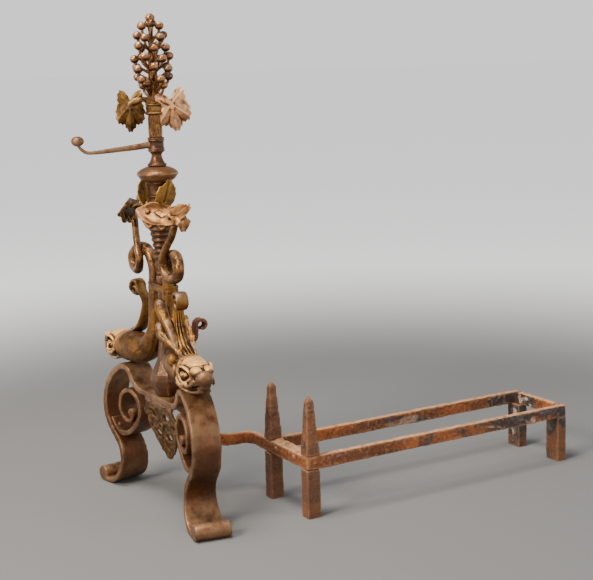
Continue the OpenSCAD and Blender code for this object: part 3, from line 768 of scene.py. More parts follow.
@dataclass(frozen=True)
class FireRust:
    """Bar iron that has stood in the fire: rust, black scale and a crust of lime.

    The eye sees dry red brown with sandy tops that are also painted paler as lit, painted shade in
    the hollows, long black and slate patches where the fire scale holds on the sides, and whitish
    crust that grows towards the fire end.
    """

    name: str = "fire_rusted_bar_iron"
    ground: str = "#824a28"
    orange: str = "#c56c2c"
    brown: str = "#4b2e1e"
    dust: str = "#a67d5e"
    scale: str = "#2f2b2a"
    slate: str = "#5a5856"
    lime: str = "#cdbba4"
    sand_and_top_light: str = "#e0ab7c"
    top_light_share: float = 0.9
    metallic: float = 0.08
    roughness: float = 0.78
    fire_y: tuple[float, float] = (-0.1, 0.1)
    crust_y: tuple[float, float] = (0.0, 0.3)
    patch_mm: float = 46.0
    dust_mm: float = 2.6
    slate_mm: float = 10.0
    crust_mm: float = 26.0
    top_light_mm: float = 9.0
    flake_mm: float = 6.0
    # The real grit is too fine to show in the render, so it is drawn coarser.
    grit_mm: float = 1.6

    def material(self) -> bpy.types.Material:
        """Builds the material from the rust outward.

        Returns:
            The material.
        """
        made, tree = new_material(self.name)
        coat = Coat(tree)
        drawn_out = add(tree, "ShaderNodeMapping", {0: coat.place, 3: (1.0, 0.4, 1.0)}).outputs[0]
        coat.laid(self.ground, 1.0)
        orange = coat.patches(self.patch_mm, 0.45, 0.66, 7, 21.0, 0.3, drawn_out)
        coat.laid(self.orange, coat.times(orange, 0.85))
        brown = coat.patches(self.patch_mm * 0.6, 0.48, 0.68, 7, 22.0, 0.3, drawn_out)
        coat.laid(self.brown, coat.times(brown, 0.8))
        coat.laid(self.dust, coat.times(coat.patches(self.dust_mm, 0.5, 0.68, 5, 29.0), 0.5))
        fire = coat.ranged(coat.axes["Y"], *self.fire_y)
        black = coat.times(coat.patches(self.patch_mm * 1.1, 0.49, 0.57, 7, 23.0, 0.5, drawn_out), fire)
        black = coat.times(black, coat.ranged(coat.up, 0.7, 0.2))
        coat.laid(self.scale, coat.times(black, 0.85))
        coat.laid(self.slate, coat.times(coat.patches(self.slate_mm, 0.48, 0.62, 6, 24.0),
                                         coat.times(black, 0.8)))
        crust = coat.times(coat.patches(self.crust_mm, 0.57, 0.63, 8, 25.0, 0.5, drawn_out),
                           coat.ranged(coat.axes["Y"], *self.crust_y))
        coat.laid(self.lime, coat.times(crust, 0.9))
        # Partly painted light: tops that face up are laid sandy and paler, standing for light from above as
        # well as sand.
        sand_and_top_light = coat.times(coat.ranged(coat.up, 0.5, 0.95), coat.patches(self.top_light_mm, 0.26, 0.6, 6, 26.0))
        coat.laid(self.sand_and_top_light, coat.times(sand_and_top_light, self.top_light_share))
        coat.laid(self.sand_and_top_light, coat.times(coat.ranged(coat.relief, 0.3, 1.2), 0.35))
        # Painted shade: the sunk hollows are laid brown, where shade gathers.
        coat.laid(self.brown, coat.ranged(coat.relief, -0.15, -0.9, 0.0, 0.7))
        grit = coat.patches(self.grit_mm, 0.3, 0.7, 5, 27.0)
        flakes = coat.patches(self.flake_mm, 0.35, 0.65, 6, 28.0)
        normal = coat.bumped(grit, 0.22, 0.6, coat.bumped(flakes, 0.5, 0.6))
        rough = coat.ranged(black, 0, 1, self.roughness, self.roughness - 0.2)
        finish_surface(coat, self.metallic, rough, normal)
        return made


class Finish(Enum):
    """The finishes on the andiron, each with the record's material slot that it belongs to."""

    # The legs carry the painted sheen on their tops.
    LEG = ("brown_iron", BrownWroughtIron(rubbed="#ae8660", sheen_share=0.85))
    COLUMN = ("brown_iron", BrownWroughtIron(
        "brown_turned_iron", ground="#563720", warm="#683f1f", grey="#5b422c", rubbed="#a9794b",
        rubbed_share=0.7, roughness=0.33))
    # A paler copy of the turned iron for the disc, its top painted lighter as if lit.
    DISC = ("brown_iron", BrownWroughtIron(
        "painted_lit_turned_iron", ground="#744e31", warm="#835532", grey="#7b5d42", rubbed="#bb8b5d",
        rubbed_share=0.7, roughness=0.34))
    APRON = ("brown_iron", BrownWroughtIron(
        "bronzed_pierced_iron", ground="#583a19", warm="#6b481e", dark="#180f09", grey="#5d4223",
        rubbed="#9b7340", rubbed_share=0.55))
    GILT = ("gilt_remains", GiltIron(bare_share=0.35))
    # On the head, the bright buff laid on the tops is partly painted light from above.
    HEAD = ("gilt_remains", GiltIron(
        "bared_gilt_iron", ground="#523318", gold="#885b23", bright="#ba873f", bare="#ffc074",
        gold_share=0.65, bare_share=0.95, bare_from=0.088, snout_from=-0.0485, soot=0.8, metallic=0.6))
    CREST = ("gilt_remains", GiltIron(
        "rubbed_gilt_iron", gold="#936426", bright="#cf9f55", bare="#a58468", gold_share=0.6,
        bare_share=0.45))
    TAIL = ("gilt_remains", GiltIron(
        "coppery_gilt_iron", ground="#5a391e", gold="#865726", bright="#bd8a46", bare="#c2956a", soot=0.7,
        roughness=0.3))
    GRAPE = ("gilt_remains", GiltIron(
        "rubbed_coppery_gilt_iron", ground="#5f3c25", gold="#9b6331", bright="#dba35b", bare="#caa07a",
        bare_upright=0.3, soot=0.7, roughness=0.25))
    PALE_LEAF = ("gilt_remains", GiltIron(
        "buff_gilt_iron", gold="#8a5a26", bare="#cf9560", gold_share=0.4, bare_share=0.85))
    COPPERY_LEAF = ("gilt_remains", GiltIron(
        "coppery_buff_gilt_iron", gold="#a06c38", bare="#f0b482", bare_share=0.72, bare_upright=0.9,
        metallic=0.6))
    GOLD_LEAF = ("gilt_remains", GiltIron(
        "bright_gilt_iron", ground="#6b4820", gold="#a87a2f", bright="#d2a24e", bare="#c39a58",
        gold_share=0.8, bare_share=0.3, bare_upright=0.4, metallic=0.55))
    DARK_LEAF = ("gilt_remains", GiltIron(
        "sooty_gilt_iron", ground="#432a12", gold="#805820", bare="#a67d49", gold_share=0.55,
        bare_share=0.45, bare_upright=0.4))
    FIRE = ("rusted_iron", FireRust())
    POST = ("rusted_iron", FireRust(
        "dusty_rusted_iron", ground="#714930", orange="#8b5634", brown="#4c3324", dust="#9f795d",
        sand_and_top_light="#b18a67", top_light_share=0.5))
    HOOK = ("rusted_iron", FireRust(
        "red_rusted_iron", ground="#683724", orange="#7f4229", lime="#9a7358", sand_and_top_light="#a06c4e"))

    @property
    def slot(self) -> str:
        """The record's slot."""
        return self.value[0]

    def material(self) -> bpy.types.Material:
        """Returns the finish's material, made once."""
        return bpy.data.materials.get(self.value[1].name) or self.value[1].material()


# ---- Setting pieces in place ----
@dataclass
class Piece:
    """One finished piece of the andiron on its way into the scene."""

    name: str
    finish: Finish
    nodes: tuple[str, ...]
    body: str = "stand"

    def placed(self, shape: Form | Skin, relief: Array | None = None) -> bpy.types.Object:
        """Puts the shape into the scene as this piece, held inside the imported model's box.

        Args:
            shape: the finished shape in millimetres about the column.
            relief: how proud or sunk each point is. A worked skin finds it by itself.

        Returns:
            The Blender object.
        """
        if isinstance(shape, Skin):
            relief = shape.relief() if relief is None else relief
            shape = Form(shape.points, [tuple(q) for q in shape.quads.tolist()])
        low, high = (np.array(corner) * MM_PER_METRE - [0, COLUMN_Y, 0] for corner in CAD_BOX)
        shape = Form(np.clip(shape.points, low, high), shape.faces)
        mesh = shape.mesh(self.name, 1 / MM_PER_METRE, COLUMN_Y)
        mesh.shade_smooth()
        values = np.zeros(len(shape.points)) if relief is None else relief
        mesh.attributes.new("relief", "FLOAT", "POINT").data.foreach_set("value", values.astype(np.float32))
        mesh.materials.append(self.finish.material())
        obj = bpy.data.objects.new(self.name, mesh)
        bpy.context.scene.collection.objects.link(obj)
        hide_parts(*self.nodes)
        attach(obj, self.body)
        log.info("%s: %d faces", self.name, len(mesh.polygons))
        return obj


@dataclass
class ForgedPart:
    """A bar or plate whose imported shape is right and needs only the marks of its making."""

    name: str
    nodes: tuple[str, ...]
    finish: Finish
    voxel: float = 1.2
    soften: int = 2
    blow_size: float = 11.0
    blow_depth: float = 0.35
    pit_size: float = 3.0
    pit_depth: float = 0.12
    body: str = "stand"
    seed: int = 1

    def skin(self) -> Skin:
        """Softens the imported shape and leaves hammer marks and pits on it.

        Returns:
            The part's skin.
        """
        skin = Form.of_node(*self.nodes).fused(self.voxel).relaxed(self.soften)
        skin.hammered(self.blow_size, self.blow_depth, self.seed)
        return skin.hammered(self.pit_size, self.pit_depth, self.seed + 1)

    def build(self) -> bpy.types.Object:
        """Makes the part and puts it into the scene."""
        return Piece(self.name, self.finish, self.nodes, self.body).placed(self.skin())


# ---- The scroll legs and what hangs between them ----
@dataclass
class ScrollBase:
    """Two scroll legs with their inner scrolls, and the pierced apron under the saddle."""

    leg_blow: float = 0.5
    strand_width: float = 2.4
    strand_height: float = 1.6
    apron_y: float = -15.0
    apron_top: float = 139.77
    apron_lean: float = 10.0

    def on_apron(self, x: float, z: float, proud: float) -> list[float]:
        """Carries a place that is drawn on the apron's face into space.

        Args:
            x: sideways from the middle.
            z: up from the rail, negative below it.
            proud: distance in front of the apron's middle sheet.

        Returns:
            The place.
        """
        a = math.radians(self.apron_lean)
        y = -proud
        back = self.apron_y + y * math.cos(a) - z * math.sin(a)
        return [x, back, self.apron_top + z * math.cos(a) + y * math.sin(a)]

    def apron(self) -> Skin:
        """Raises strands along the apron's scrolls, on both faces.

        Returns:
            The apron's skin.
        """
        skin = Form.of_node("apron").fused(0.7).relaxed(2)
        strands = [[[44, -2], [49, -10], [47, -19], [40, -17], [33, -19], [32, -27], [38, -31]],
                   [[6, -2], [12, -7], [22, -6], [32, -9], [33, -15]],
                   [[9, -12], [6, -20], [12, -22], [22, -20], [31, -21]],
                   [[44, -28], [40, -34], [38, -41], [30, -45], [28, -52], [20, -56]],
                   [[12, -31], [18, -35], [26, -34], [29, -38]],
                   [[3, -38], [6, -45], [12, -50], [20, -50], [14, -58], [15, -66]],
                   [[1, -50], [1.5, -60], [5, -68], [3, -75]]]
        for face in (2.0, -2.0):
            for way in (-1, 1):
                for strand in strands:
                    flat = smooth([[way * p[0], p[1]] for p in strand], 5)
                    line = np.array([self.on_apron(x, z, face) for x, z in flat])
                    skin.drawn(line, self.strand_width, self.strand_height, -1 if face > 0 else 1)
            turns = np.linspace(0, 6.29, 19)
            ring = [self.on_apron(5 * math.sin(a), -29 + 5 * math.cos(a), face) for a in turns]
            skin.drawn(np.array(ring), 1.5, 1.2, -1 if face > 0 else 1)
            for k in range(-3, 4):
                skin.swelled(tuple(self.on_apron(k * 11.0, -1.6, face)), 2.2, 0.7)
        return skin.hammered(4.0, 0.18, 31)

    def build(self) -> None:
        """Makes the base."""
        for side in ("left", "right"):
            seed = 3 if side == "left" else 5
            ForgedPart(f"{side}_scroll_leg", (f"{side}_leg",), Finish.LEG, voxel=1.25, soften=3, blow_size=16,
                       blow_depth=self.leg_blow, seed=seed).build()
            ForgedPart(f"{side}_inner_scroll", (f"{side}_volute",), Finish.LEG, voxel=1.1, soften=3,
                       blow_size=12, blow_depth=0.35, seed=seed + 10).build()
        ForgedPart("inner_scroll_rivets", ("volute_rivets",), Finish.LEG, voxel=0.6, soften=2, blow_size=4,
                   blow_depth=0.2, pit_size=1.5, pit_depth=0.05).build()
        Piece("chased_apron", Finish.APRON, ("apron",)).placed(self.apron())
        ForgedPart("apron_hanging_rail", ("apron_rail",), Finish.LEG, voxel=0.7, soften=2, blow_size=8,
                   blow_depth=0.2).build()
        ForgedPart("apron_rail_rivets", ("apron_rivets",), Finish.LEG, voxel=0.4, soften=2, blow_size=3,
                   blow_depth=0.1, pit_size=1.2, pit_depth=0.04).build()
        ForgedPart("saddle_nut", ("rod_nut",), Finish.LEG, voxel=0.6, soften=2, blow_size=5,
                   blow_depth=0.2).build()


# ---- The column ----
@dataclass
class Column:
    """The turned and faceted stages that stand on the saddle."""

    collar_edges: tuple[float, float] = (299.2, 304.8)
    post_z: tuple[float, float] = (501.3, 530.0)
    post_r: float = 8.8

    def ringed_cone(self) -> Skin:
        """Makes the cone's beads uneven, as filed by hand.

        Returns:
            The cone's skin.
        """
        skin = Form.of_node("ringed_cone").fused(0.7).relaxed(1)
        wander = grain(skin.points * [1, 1, 0.4], 9, 41)
        return skin.pushed(0.25 * wander - 0.2)

    def chased_post(self) -> Skin:
        """Chases upright leaves round the upper post.

        Returns:
            The post's skin.
        """
        skin = Form.of_node("upper_post").fused(0.6).relaxed(1)
        z0, z1 = self.post_z
        for k in range(6):
            a = math.radians(k * 60 + 15)
            rib, left, right = [], [], []
            for t in np.linspace(0.05, 0.95, 12):
                z = z0 + (z1 - z0) * t
                spread = 0.42 * math.sin(math.pi * t)
                for line, angle in ((rib, a), (left, a - spread), (right, a + spread)):
                    line.append([self.post_r * math.cos(angle), self.post_r * math.sin(angle), z])
            skin.traced(np.array(rib), 0.7, 0.45)
            skin.traced(np.array(left), 0.7, -0.55).traced(np.array(right), 0.7, -0.55)
        return skin.hammered(3.0, 0.12, 43)

    def collar(self) -> Skin:
        """Twists the edges of the band that binds the dolphins to the column.

        Returns:
            The band's skin.
        """
        skin = Form.of_node("binding_collar").fused(0.6).relaxed(2)
        p = skin.points
        rope = np.sin((p[:, 0] + p[:, 1] + 2.2 * p[:, 2]) * 1.6)
        edge = sum(np.exp(-((p[:, 2] - z) / 1.6) ** 2) for z in self.collar_edges)
        return skin.pushed(0.35 * edge * rope - 0.25 * (1 - edge))

    def build(self) -> None:
        """Makes the column from the saddle up."""
        ForgedPart("faceted_baluster", ("baluster",), Finish.COLUMN, voxel=0.9, soften=5, blow_size=14,
                   blow_depth=0.4, pit_size=3, pit_depth=0.06, seed=21).build()
        Piece("dolphin_collar", Finish.GILT, ("binding_collar",)).placed(self.collar())
        Piece("ringed_cone_shaft", Finish.COLUMN, ("ringed_cone",)).placed(self.ringed_cone())
        ForgedPart("leaf_socket_turning", ("leaf_socket",), Finish.COLUMN, voxel=0.7, soften=1, blow_size=8,
                   blow_depth=0.15, pit_size=3, pit_depth=0.05, seed=23).build()
        ForgedPart("disc_knop", ("knop_disc",), Finish.DISC, voxel=0.8, soften=1, blow_size=12,
                   blow_depth=0.12, pit_size=3, pit_depth=0.04, seed=25).build()
        Piece("chased_upper_post", Finish.TAIL, ("upper_post",)).placed(self.chased_post())
        ForgedPart("post_top_collar", ("post_collar",), Finish.DARK_LEAF, voxel=0.5, soften=1, blow_size=5,
                   blow_depth=0.2, pit_size=2, pit_depth=0.08, seed=27).build()
        self.build_neck()

    def build_neck(self) -> None:
        """Makes the neck and its journal as one true turning, so that the sleeve runs clear."""
        beads = [[11 + 2 * math.sin(i * math.pi / 10), 463 + 4 * i / 10] for i in range(11)]
        waist = smooth([[10.4, 467.6], [8.7, 470.6], [7.3, 474.5], [6.9, 477.5], [7.7, 480], [9.8, 481.8]], 5)
        profile = [[4.2, 463.02], *beads, *waist.tolist(), [9.9, 481.98], [8.0, 482.0], [8.0, 501.28],
                   [4.2, 501.28]]
        form = Form.lathe(profile)
        z = form.points[:, 2]
        relief = np.where(z < 467, 0.25, np.where(z < 481, -0.12, 0.1))
        Piece("swivel_neck_turning", Finish.COLUMN, ("swivel_neck",)).placed(form, relief)


# ---- The arm that turns ----
@dataclass
class Swivel:
    """The sleeve, the thin arm and the ball at its end, which turn about the column."""

    z0: float = 482.3
    z1: float = 501.0
    bore: float = 8.05
    radius: float = 10.2

    def sleeve(self) -> tuple[Form, Array]:
        """Turns the sleeve, with two bands at each end.

        Returns:
            The sleeve and its relief.
        """
        def bands(start: float) -> list[list[float]]:
            """Draws two round bands.

            Args:
                start: height of their lower edge.

            Returns:
                Radius and height of each corner.
            """
            return [[self.radius + 1.15 * math.sin((i % 6) * math.pi / 6), start + 2.4 * i / 6]
                    for i in range(13)]

        low, high = bands(self.z0), bands(self.z1 - 4.8)
        profile = [[self.bore, self.z0], *low, *high, [self.bore, self.z1]]
        form = Form.lathe(profile)
        ring = np.hypot(form.points[:, 0], form.points[:, 1])
        return form, np.clip((ring - self.radius - 0.3) / 0.8, -0.5, 1)

    def build(self) -> None:
        """Makes the three pieces on the turning body."""
        form, relief = self.sleeve()
        Piece("swivel_sleeve_turning", Finish.COLUMN, ("swivel_sleeve",), "swivel").placed(form, relief)
        ForgedPart("swivel_arm_rod", ("swivel_arm",), Finish.LEG, voxel=0.55, soften=1, blow_size=9,
                   blow_depth=0.15, pit_size=2, pit_depth=0.05, body="swivel", seed=51).build()
        ForgedPart("arm_end_ball", ("arm_ball",), Finish.LEG, voxel=0.6, soften=1, blow_size=6,
                   blow_depth=0.15, pit_size=2, pit_depth=0.04, body="swivel", seed=53).build()


# ---- Dolphins ----
@dataclass
class Dolphin:
    """One dolphin, head down on its leg: body and head, crest, and the looping tail.

    Sizes are for the right-hand one, before it turns forward with its leg.
    """

    side: str
    turn: float = -6.5
    body: Knots = field(default_factory=lambda: [
        [22.5, 0, 312, 7.4, 7.4], [22.5, 0, 304, 8.4, 8.4], [22.5, 0, 290, 9.1, 9.1],
        [22.5, 0, 268, 9.6, 9.8], [23.5, 0, 246, 10.4, 12], [28.5, 0, 229, 13.3, 15.8],
        [42, 0, 214.5, 17.8, 20.3], [64, 0, 208.5, 21, 23.6], [90, 0, 207.5, 22, 23.6],
        [112, 0, 205.5, 19.6, 21.6], [132, 0, 202, 14.6, 17.4], [148, 0, 199.5, 9.5, 12],
        [156, 0, 198, 4.5, 6]])
    crest_root: tuple[float, float, float] = (88, 9, 225)
    crest_tips: tuple[tuple[float, float, float], ...] = ((40, 18, 294), (47, 21, 264))
    eye: tuple[float, float] = (122.5, 209.5)
    left_crest_sway: float = 10.0
    lobe_grow: float = 1.7

    def head_lumps(self) -> list[Form]:
        """Sets out the raw lumps that the head is forged from.

        Only the right head has a boss at its temple, on the front flank.

        Returns:
            The lumps.
        """
        lumps = [Form.ball((149.5, 0, 206.8), (10.6, 11.6, 10.6), 32),
                 Form.ball((112, 0, 212), (24, 19, 16.5), 32), Form.ball((134, 0, 210.5), (16, 14, 11), 32),
                 Form.ball((120, 0, 216.5), (20, 16, 10.5), 32)]
        if self.side == "right":
            lumps.append(Form.ball((88, -21.5, 222), (8.6, 7, 8), 28))
        for way in (-1, 1):
            lumps.append(Form.ball((141.5, way * 7.4, 215.6), (11, 8, 6.2), 28))
            x, z = self.eye
            lid = [[x - 15, way * 18.5, z - 1, 1.8, 1.8], [x - 8, way * 19.5, z + 7, 2.4, 2.4],
                   [x + 2, way * 18.5, z + 9.2, 2.6, 2.6], [x + 12, way * 15, z + 5, 2.4, 2.4],
                   [x + 16, way * 13.5, z - 2, 1.8, 1.8], [x + 8, way * 17.5, z - 7.6, 1.9, 1.9],
                   [x - 3, way * 19.8, z - 8.4, 1.9, 1.9], [x - 11, way * 19.5, z - 5, 1.8, 1.8],
                   [x - 15, way * 18.5, z - 1, 1.8, 1.8]]
            lumps += [Form.limb(lid, 5, 12), Form.ball((x, way * 16.5, z), (8.4, 4.6, 4.9), 28)]
            lip = [[105, way * 22, 203, 2.6, 2], [112, way * 22, 197.5, 3.2, 2.4],
                   [121, way * 20.8, 195, 3.4, 2.6], [129, way * 18.8, 198.5, 3.6, 2.6],
                   [135, way * 17, 195.5, 3.4, 2.4], [141, way * 14.6, 199.5, 3.4, 2.2],
                   [146, way * 12.4, 206, 3, 2]]
            lumps.append(Form.limb(lip, 6, 12))
            jaw = [[96, way * 17, 196, 5, 5], [112, way * 15, 191.5, 5, 5],
                   [128, way * 11.5, 189.5, 4.6, 4.6], [142, way * 7, 190.5, 4.2, 4.4],
                   [151, way * 1, 192.5, 3.6, 4]]
            lumps.append(Form.limb(jaw, 5, 14))
        return lumps

    def eye_ring(self, wide: float, high: float) -> Array:
        """Draws a lying oval round the eye.

        Args:
            wide: its half width.
            high: its half height.

        Returns:
            Places on the oval.
        """
        x, z = self.eye
        turn = np.linspace(0, 2 * math.pi, 25)
        return np.stack([x + wide * np.cos(turn), 0 * turn, z + high * np.sin(turn)], 1)

    def work_head(self, skin: Skin) -> None:
        """Cuts the mouth, the groove of the brow and the eyes into the head.

        Args:
            skin: the fused body and head, which is changed.
        """
        for way in (-1, 1):
            mouth = [[100, 0, 199], [110, 0, 191.5], [121, 0, 189.5], [132, 0, 190.5], [143, 0, 194],
                     [151, 0, 197.5]]
            skin.drawn(smooth(mouth, 5), 2.2, -4.0, way)
            skin.drawn(self.eye_ring(10.4, 6.2), 1.7, -3.4, way)
            skin.drawn(self.eye_ring(4.6, 2.8), 1.1, -1.6, way)
            cheek = [[97, 0, 219], [101, 0, 211], [100, 0, 202], [95, 0, 195]]
            skin.drawn(smooth(cheek, 5), 2.0, -1.8, way)
            skin.drawn(smooth([[94, 0, 218], [97, 0, 210], [95, 0, 201]], 5), 2.4, 1.0, way)
        skin.traced(smooth([[128, 0, 229], [138, 0, 225], [147, 0, 217.5]], 5), 1.6, -1.2)
        nose = [[142, 11 * math.sin(a), 207 + 12 * math.cos(a)] for a in np.linspace(-1.9, 1.9, 15)]
        skin.traced(np.array(nose), 1.8, -1.5)

    def body_skin(self) -> Skin:
        """Forges the body and head, with shallow grooves along the body and a worked head.

        Returns:
            The skin.
        """
        skin = Form.joined([Form.limb(self.body, 8, 32), *self.head_lumps()]).fused(0.85).relaxed(6)
        path = smooth(self.body, 8)
        for j in range(7):
            a = 2 * math.pi * (j + 0.5) / 7
            n = np.cross([0, 1, 0], along(path))
            line = path[:, :3] + n * (path[:, 3] * math.cos(a))[:, None]
            line = line + np.array([0, 1, 0]) * (path[:, 4] * math.sin(a))[:, None]
            skin.traced(line[4:52], 1.8, -0.5)
        self.work_head(skin)
        return skin.relaxed(1)

    def lobe(self, tip: tuple[float, float, float]) -> Knots:
        """Sets out one crest lobe: a narrow ridge that ends in a fat rounded pad.

        Args:
            tip: the pad's end. Its Y is the distance out from the middle to the front flank.

        Returns:
            The lobe's knots.
        """
        x, y, z = self.crest_root
        grow = self.lobe_grow
        return [[x + 6, -(y + 2), z - 2, 3, 3], [x - 4, -(y + 3), z + 6, 3.2, 3.4],
                [(x + tip[0]) / 2 + 2, -tip[1] * 0.86, (z + tip[2]) / 2 - 2, 3.6 + grow, 4.2 + grow],
                [tip[0] + 7, -tip[1], tip[2] - 17, 5.6 + grow, 6.2 + grow],
                [tip[0] + 2.5, -(tip[1] + 0.4), tip[2] - 8, 5.4 + grow, 6.2 + grow],
                [tip[0] + 0.6, -(tip[1] + 0.4), tip[2] - 2.6, 4 + grow, 4.6 + grow],
                [tip[0], -tip[1], tip[2] + 0.4, 1.6, 2]]

    def crest_skin(self) -> Skin:
        """Forges the crest: a ridged strap that rolls over at its tip, and a torn fin on the back flank.

        The right dolphin's has two lobes on its front flank. The lower part of the left one's stands
        further back.

        Returns:
            The skin.
        """
        strap = [[100, -1.5, 225, 3.6, 10], [88, -1.5, 229.5, 4.6, 11], [77, -1.5, 236, 4.8, 11],
                 [67, -1.5, 248, 4.8, 10.4], [60.5, -1, 264, 4.6, 9.4], [58, 0, 280, 4.2, 8.4],
                 [58.5, 0, 291, 3.4, 8]]
        roll = [[58.5, 0, 288, 3, 7.8], [60, 0, 298, 3, 8.2], [67, 0, 303, 3, 8.5], [75, 0, 300, 3, 8.6],
                [78, 0, 291.5, 3, 8.6], [73.5, 0, 284.6, 2.9, 8.4], [66.5, 0, 284.8, 2.7, 8],
                [63.6, 0, 290, 2.5, 7.6], [66.5, 0, 295.4, 2.3, 7.4], [71, 0, 293.4, 2, 7.2]]
        forms = [Form.limb(strap, 6, 24), Form.limb(roll, 6, 20, roll=0.7)]
        lobes = [self.lobe(tip) for tip in self.crest_tips] if self.side == "right" else []
        forms += [Form.limb(knots, 6, 20, (0.3, 1, 0.2)) for knots in lobes]
        fin = Leaf([[97, 7, 226, 3.5, 0], [87, 9, 236, 5, 0.5], [79, 9.5, 248, 5.5, 1],
                    [71, 9, 260, 4.4, 0.5], [65, 8, 274, 2.4, 0]], (0.7, 0.7, 0.25), thickness=1.8,
                   lobes=5, lobe_depth=0.25, teeth=13, tooth_depth=0.2, vein=0.4, wave=1.0, cells=20)
        forms.append(fin.form())
        skin = Form.joined(forms).fused(0.7).relaxed(2)
        for k in range(9):
            off = (k - 4) * 2.4 - 1.2
            line = [[103, off * 0.85, 226.5], [90, off, 234], [80, off * 0.96, 242], [71, off * 0.86, 253],
                    [65, off * 0.7, 268], [62.5, off * 0.55, 284]]
            skin.traced(smooth(line, 6), 1.25, -2.6 if k % 2 else 2.0)
        for lobe in lobes:
            knots = np.array(lobe)[1:6]
            for across in (-0.5, 0.5):
                line = knots[:, :3] + np.array([0.5, -0.8, 0.3]) * knots[:, 4:5] * 0.8
                skin.traced(smooth((line + [across * 4.6, 0, across * 2.2]).tolist(), 6), 0.9, -0.8)
        if self.side == "left":
            low = np.clip((294 - skin.points[:, 2]) / 26, 0, 1)
            skin.points[:, 1] += self.left_crest_sway * low**2 * (3 - 2 * low)
        return skin.relaxed(1)

    def tail_skin(self) -> Skin:
        """Forges the tail's smooth loop and its stem.

        Returns:
            The skin.
        """
        bx = 22.5 * math.cos(math.radians(self.turn))
        by = 22.5 * math.sin(math.radians(self.turn))
        knots = [[bx, by, 310, 7.3, 7.3], [25, -2, 330, 7.5, 7.6], [33, -3, 345, 7.8, 7.9],
                 [48, -4, 350, 8.1, 8.1], [63, -7, 347, 8, 8], [72.5, -9.6, 337, 7.8, 7.8],
                 [70, -10.5, 325.5, 7.2, 7.3], [59, -11.8, 320.5, 6.6, 6.8], [46, -14, 323, 6, 6.2],
                 [36, -16.4, 337, 5.4, 5.6], [45, -15, 357, 5, 5.2], [59, -10.5, 378, 4.8, 5],
                 [66, -8, 396, 4.8, 5.2]]
        return Form.limb(knots, 10, 28).fused(0.75).relaxed(2).hammered(9, 0.3, 63)

    def placed(self, name: str, skin: Skin, finish: Finish, node: str, turn: bool, seed: int) -> None:
        """Turns, mirrors, hammers and places one piece of this dolphin.

        Args:
            name: the piece's name, without its side.
            skin: its skin, as on the right.
            finish: its finish.
            node: the node that it stands for, without its side.
            turn: whether it turns forward with the leg.
            seed: picks its hammer marks.
        """
        if turn:
            skin.points = turned(skin.points, self.turn)
        if self.side == "left":
            skin = skin.mirrored()
            seed += 1
        skin.hammered(6, 0.22, seed).hammered(2.4, 0.09, seed + 7)
        Piece(f"{self.side}_{name}", finish, (f"{self.side}_{node}",)).placed(skin)

    def build(self) -> None:
        """Makes the dolphin's three pieces."""
        self.placed("dolphin_body", self.body_skin(), Finish.HEAD, "dolphin", True, 71)
        crest = Finish.CREST if self.side == "right" else Finish.DARK_LEAF
        self.placed("dolphin_crest", self.crest_skin(), crest, "crest", True, 73)
        self.placed("dolphin_tail", self.tail_skin(), Finish.TAIL, "tail", False, 75)


# ---- Leaves ----
@dataclass
class Leaf:
    """A hammered leaf along a spine, with a toothed edge, raised veins and a rolling surface.

    Each knot of the spine gives x, y, z, half the leaf's width and how far its edges curl there.
    """

    spine: Knots
    side_way: tuple[float, float, float] = (0, 1, 0)
    thickness: float = 1.7
    lobes: int = 4
    lobe_depth: float = 0.2
    teeth: int = 12
    tooth_depth: float = 0.07
    vein: float = 0.7
    wave: float = 1.2
    steps: int = 10
    cells: int = 40

    def form(self) -> Form:
        """Hammers the leaf out as a closed thin form.

        Returns:
            The leaf.
        """
        path = smooth(self.spine, self.steps)
        t = along(path)
        b = unit(np.array(self.side_way, float) - t * (t @ np.array(self.side_way, float))[:, None])
        n = np.cross(t, b)
        s = np.linspace(0, 1, len(path))[:, None]
        u = np.linspace(-1, 1, self.cells + 1)[None, :]
        lobe = np.abs(np.cos(math.pi * self.lobes * s + 0.3 * np.sign(u)))
        tooth = np.abs((s * self.teeth + 0.25 * np.sign(u)) % 1 - 0.5) * 2
        width = path[:, 3:4] * (1 - self.lobe_depth * lobe**2 - self.tooth_depth * tooth)
        spread = width * u
        cup = path[:, 4:5] * u**2
        side_veins = np.cos(math.pi * (2 * self.lobes * s - 2.2 * np.abs(u)))
        lift = (self.vein * np.exp(-((u * path[:, 3:4] / 1.3) ** 2))
                + self.vein * 0.55 * np.clip(side_veins, 0, 1) ** 6 * (1 - u**2)
                + self.wave * np.cos(math.pi * (2 * self.lobes * s - 1.2 * np.abs(u))) * np.abs(u) ** 2)
        mid = path[:, None, :3] + b[:, None] * spread[..., None] + n[:, None] * (cup + lift)[..., None]
        thin = self.thickness / 2 * (1 - 0.35 * np.abs(u) ** 4)
        top = mid + n[:, None] * np.broadcast_to(thin, spread.shape)[..., None]
        low = mid - n[:, None] * np.broadcast_to(thin, spread.shape)[..., None]
        return Form.of_rings(np.concatenate([top, low[:, ::-1]], axis=1))


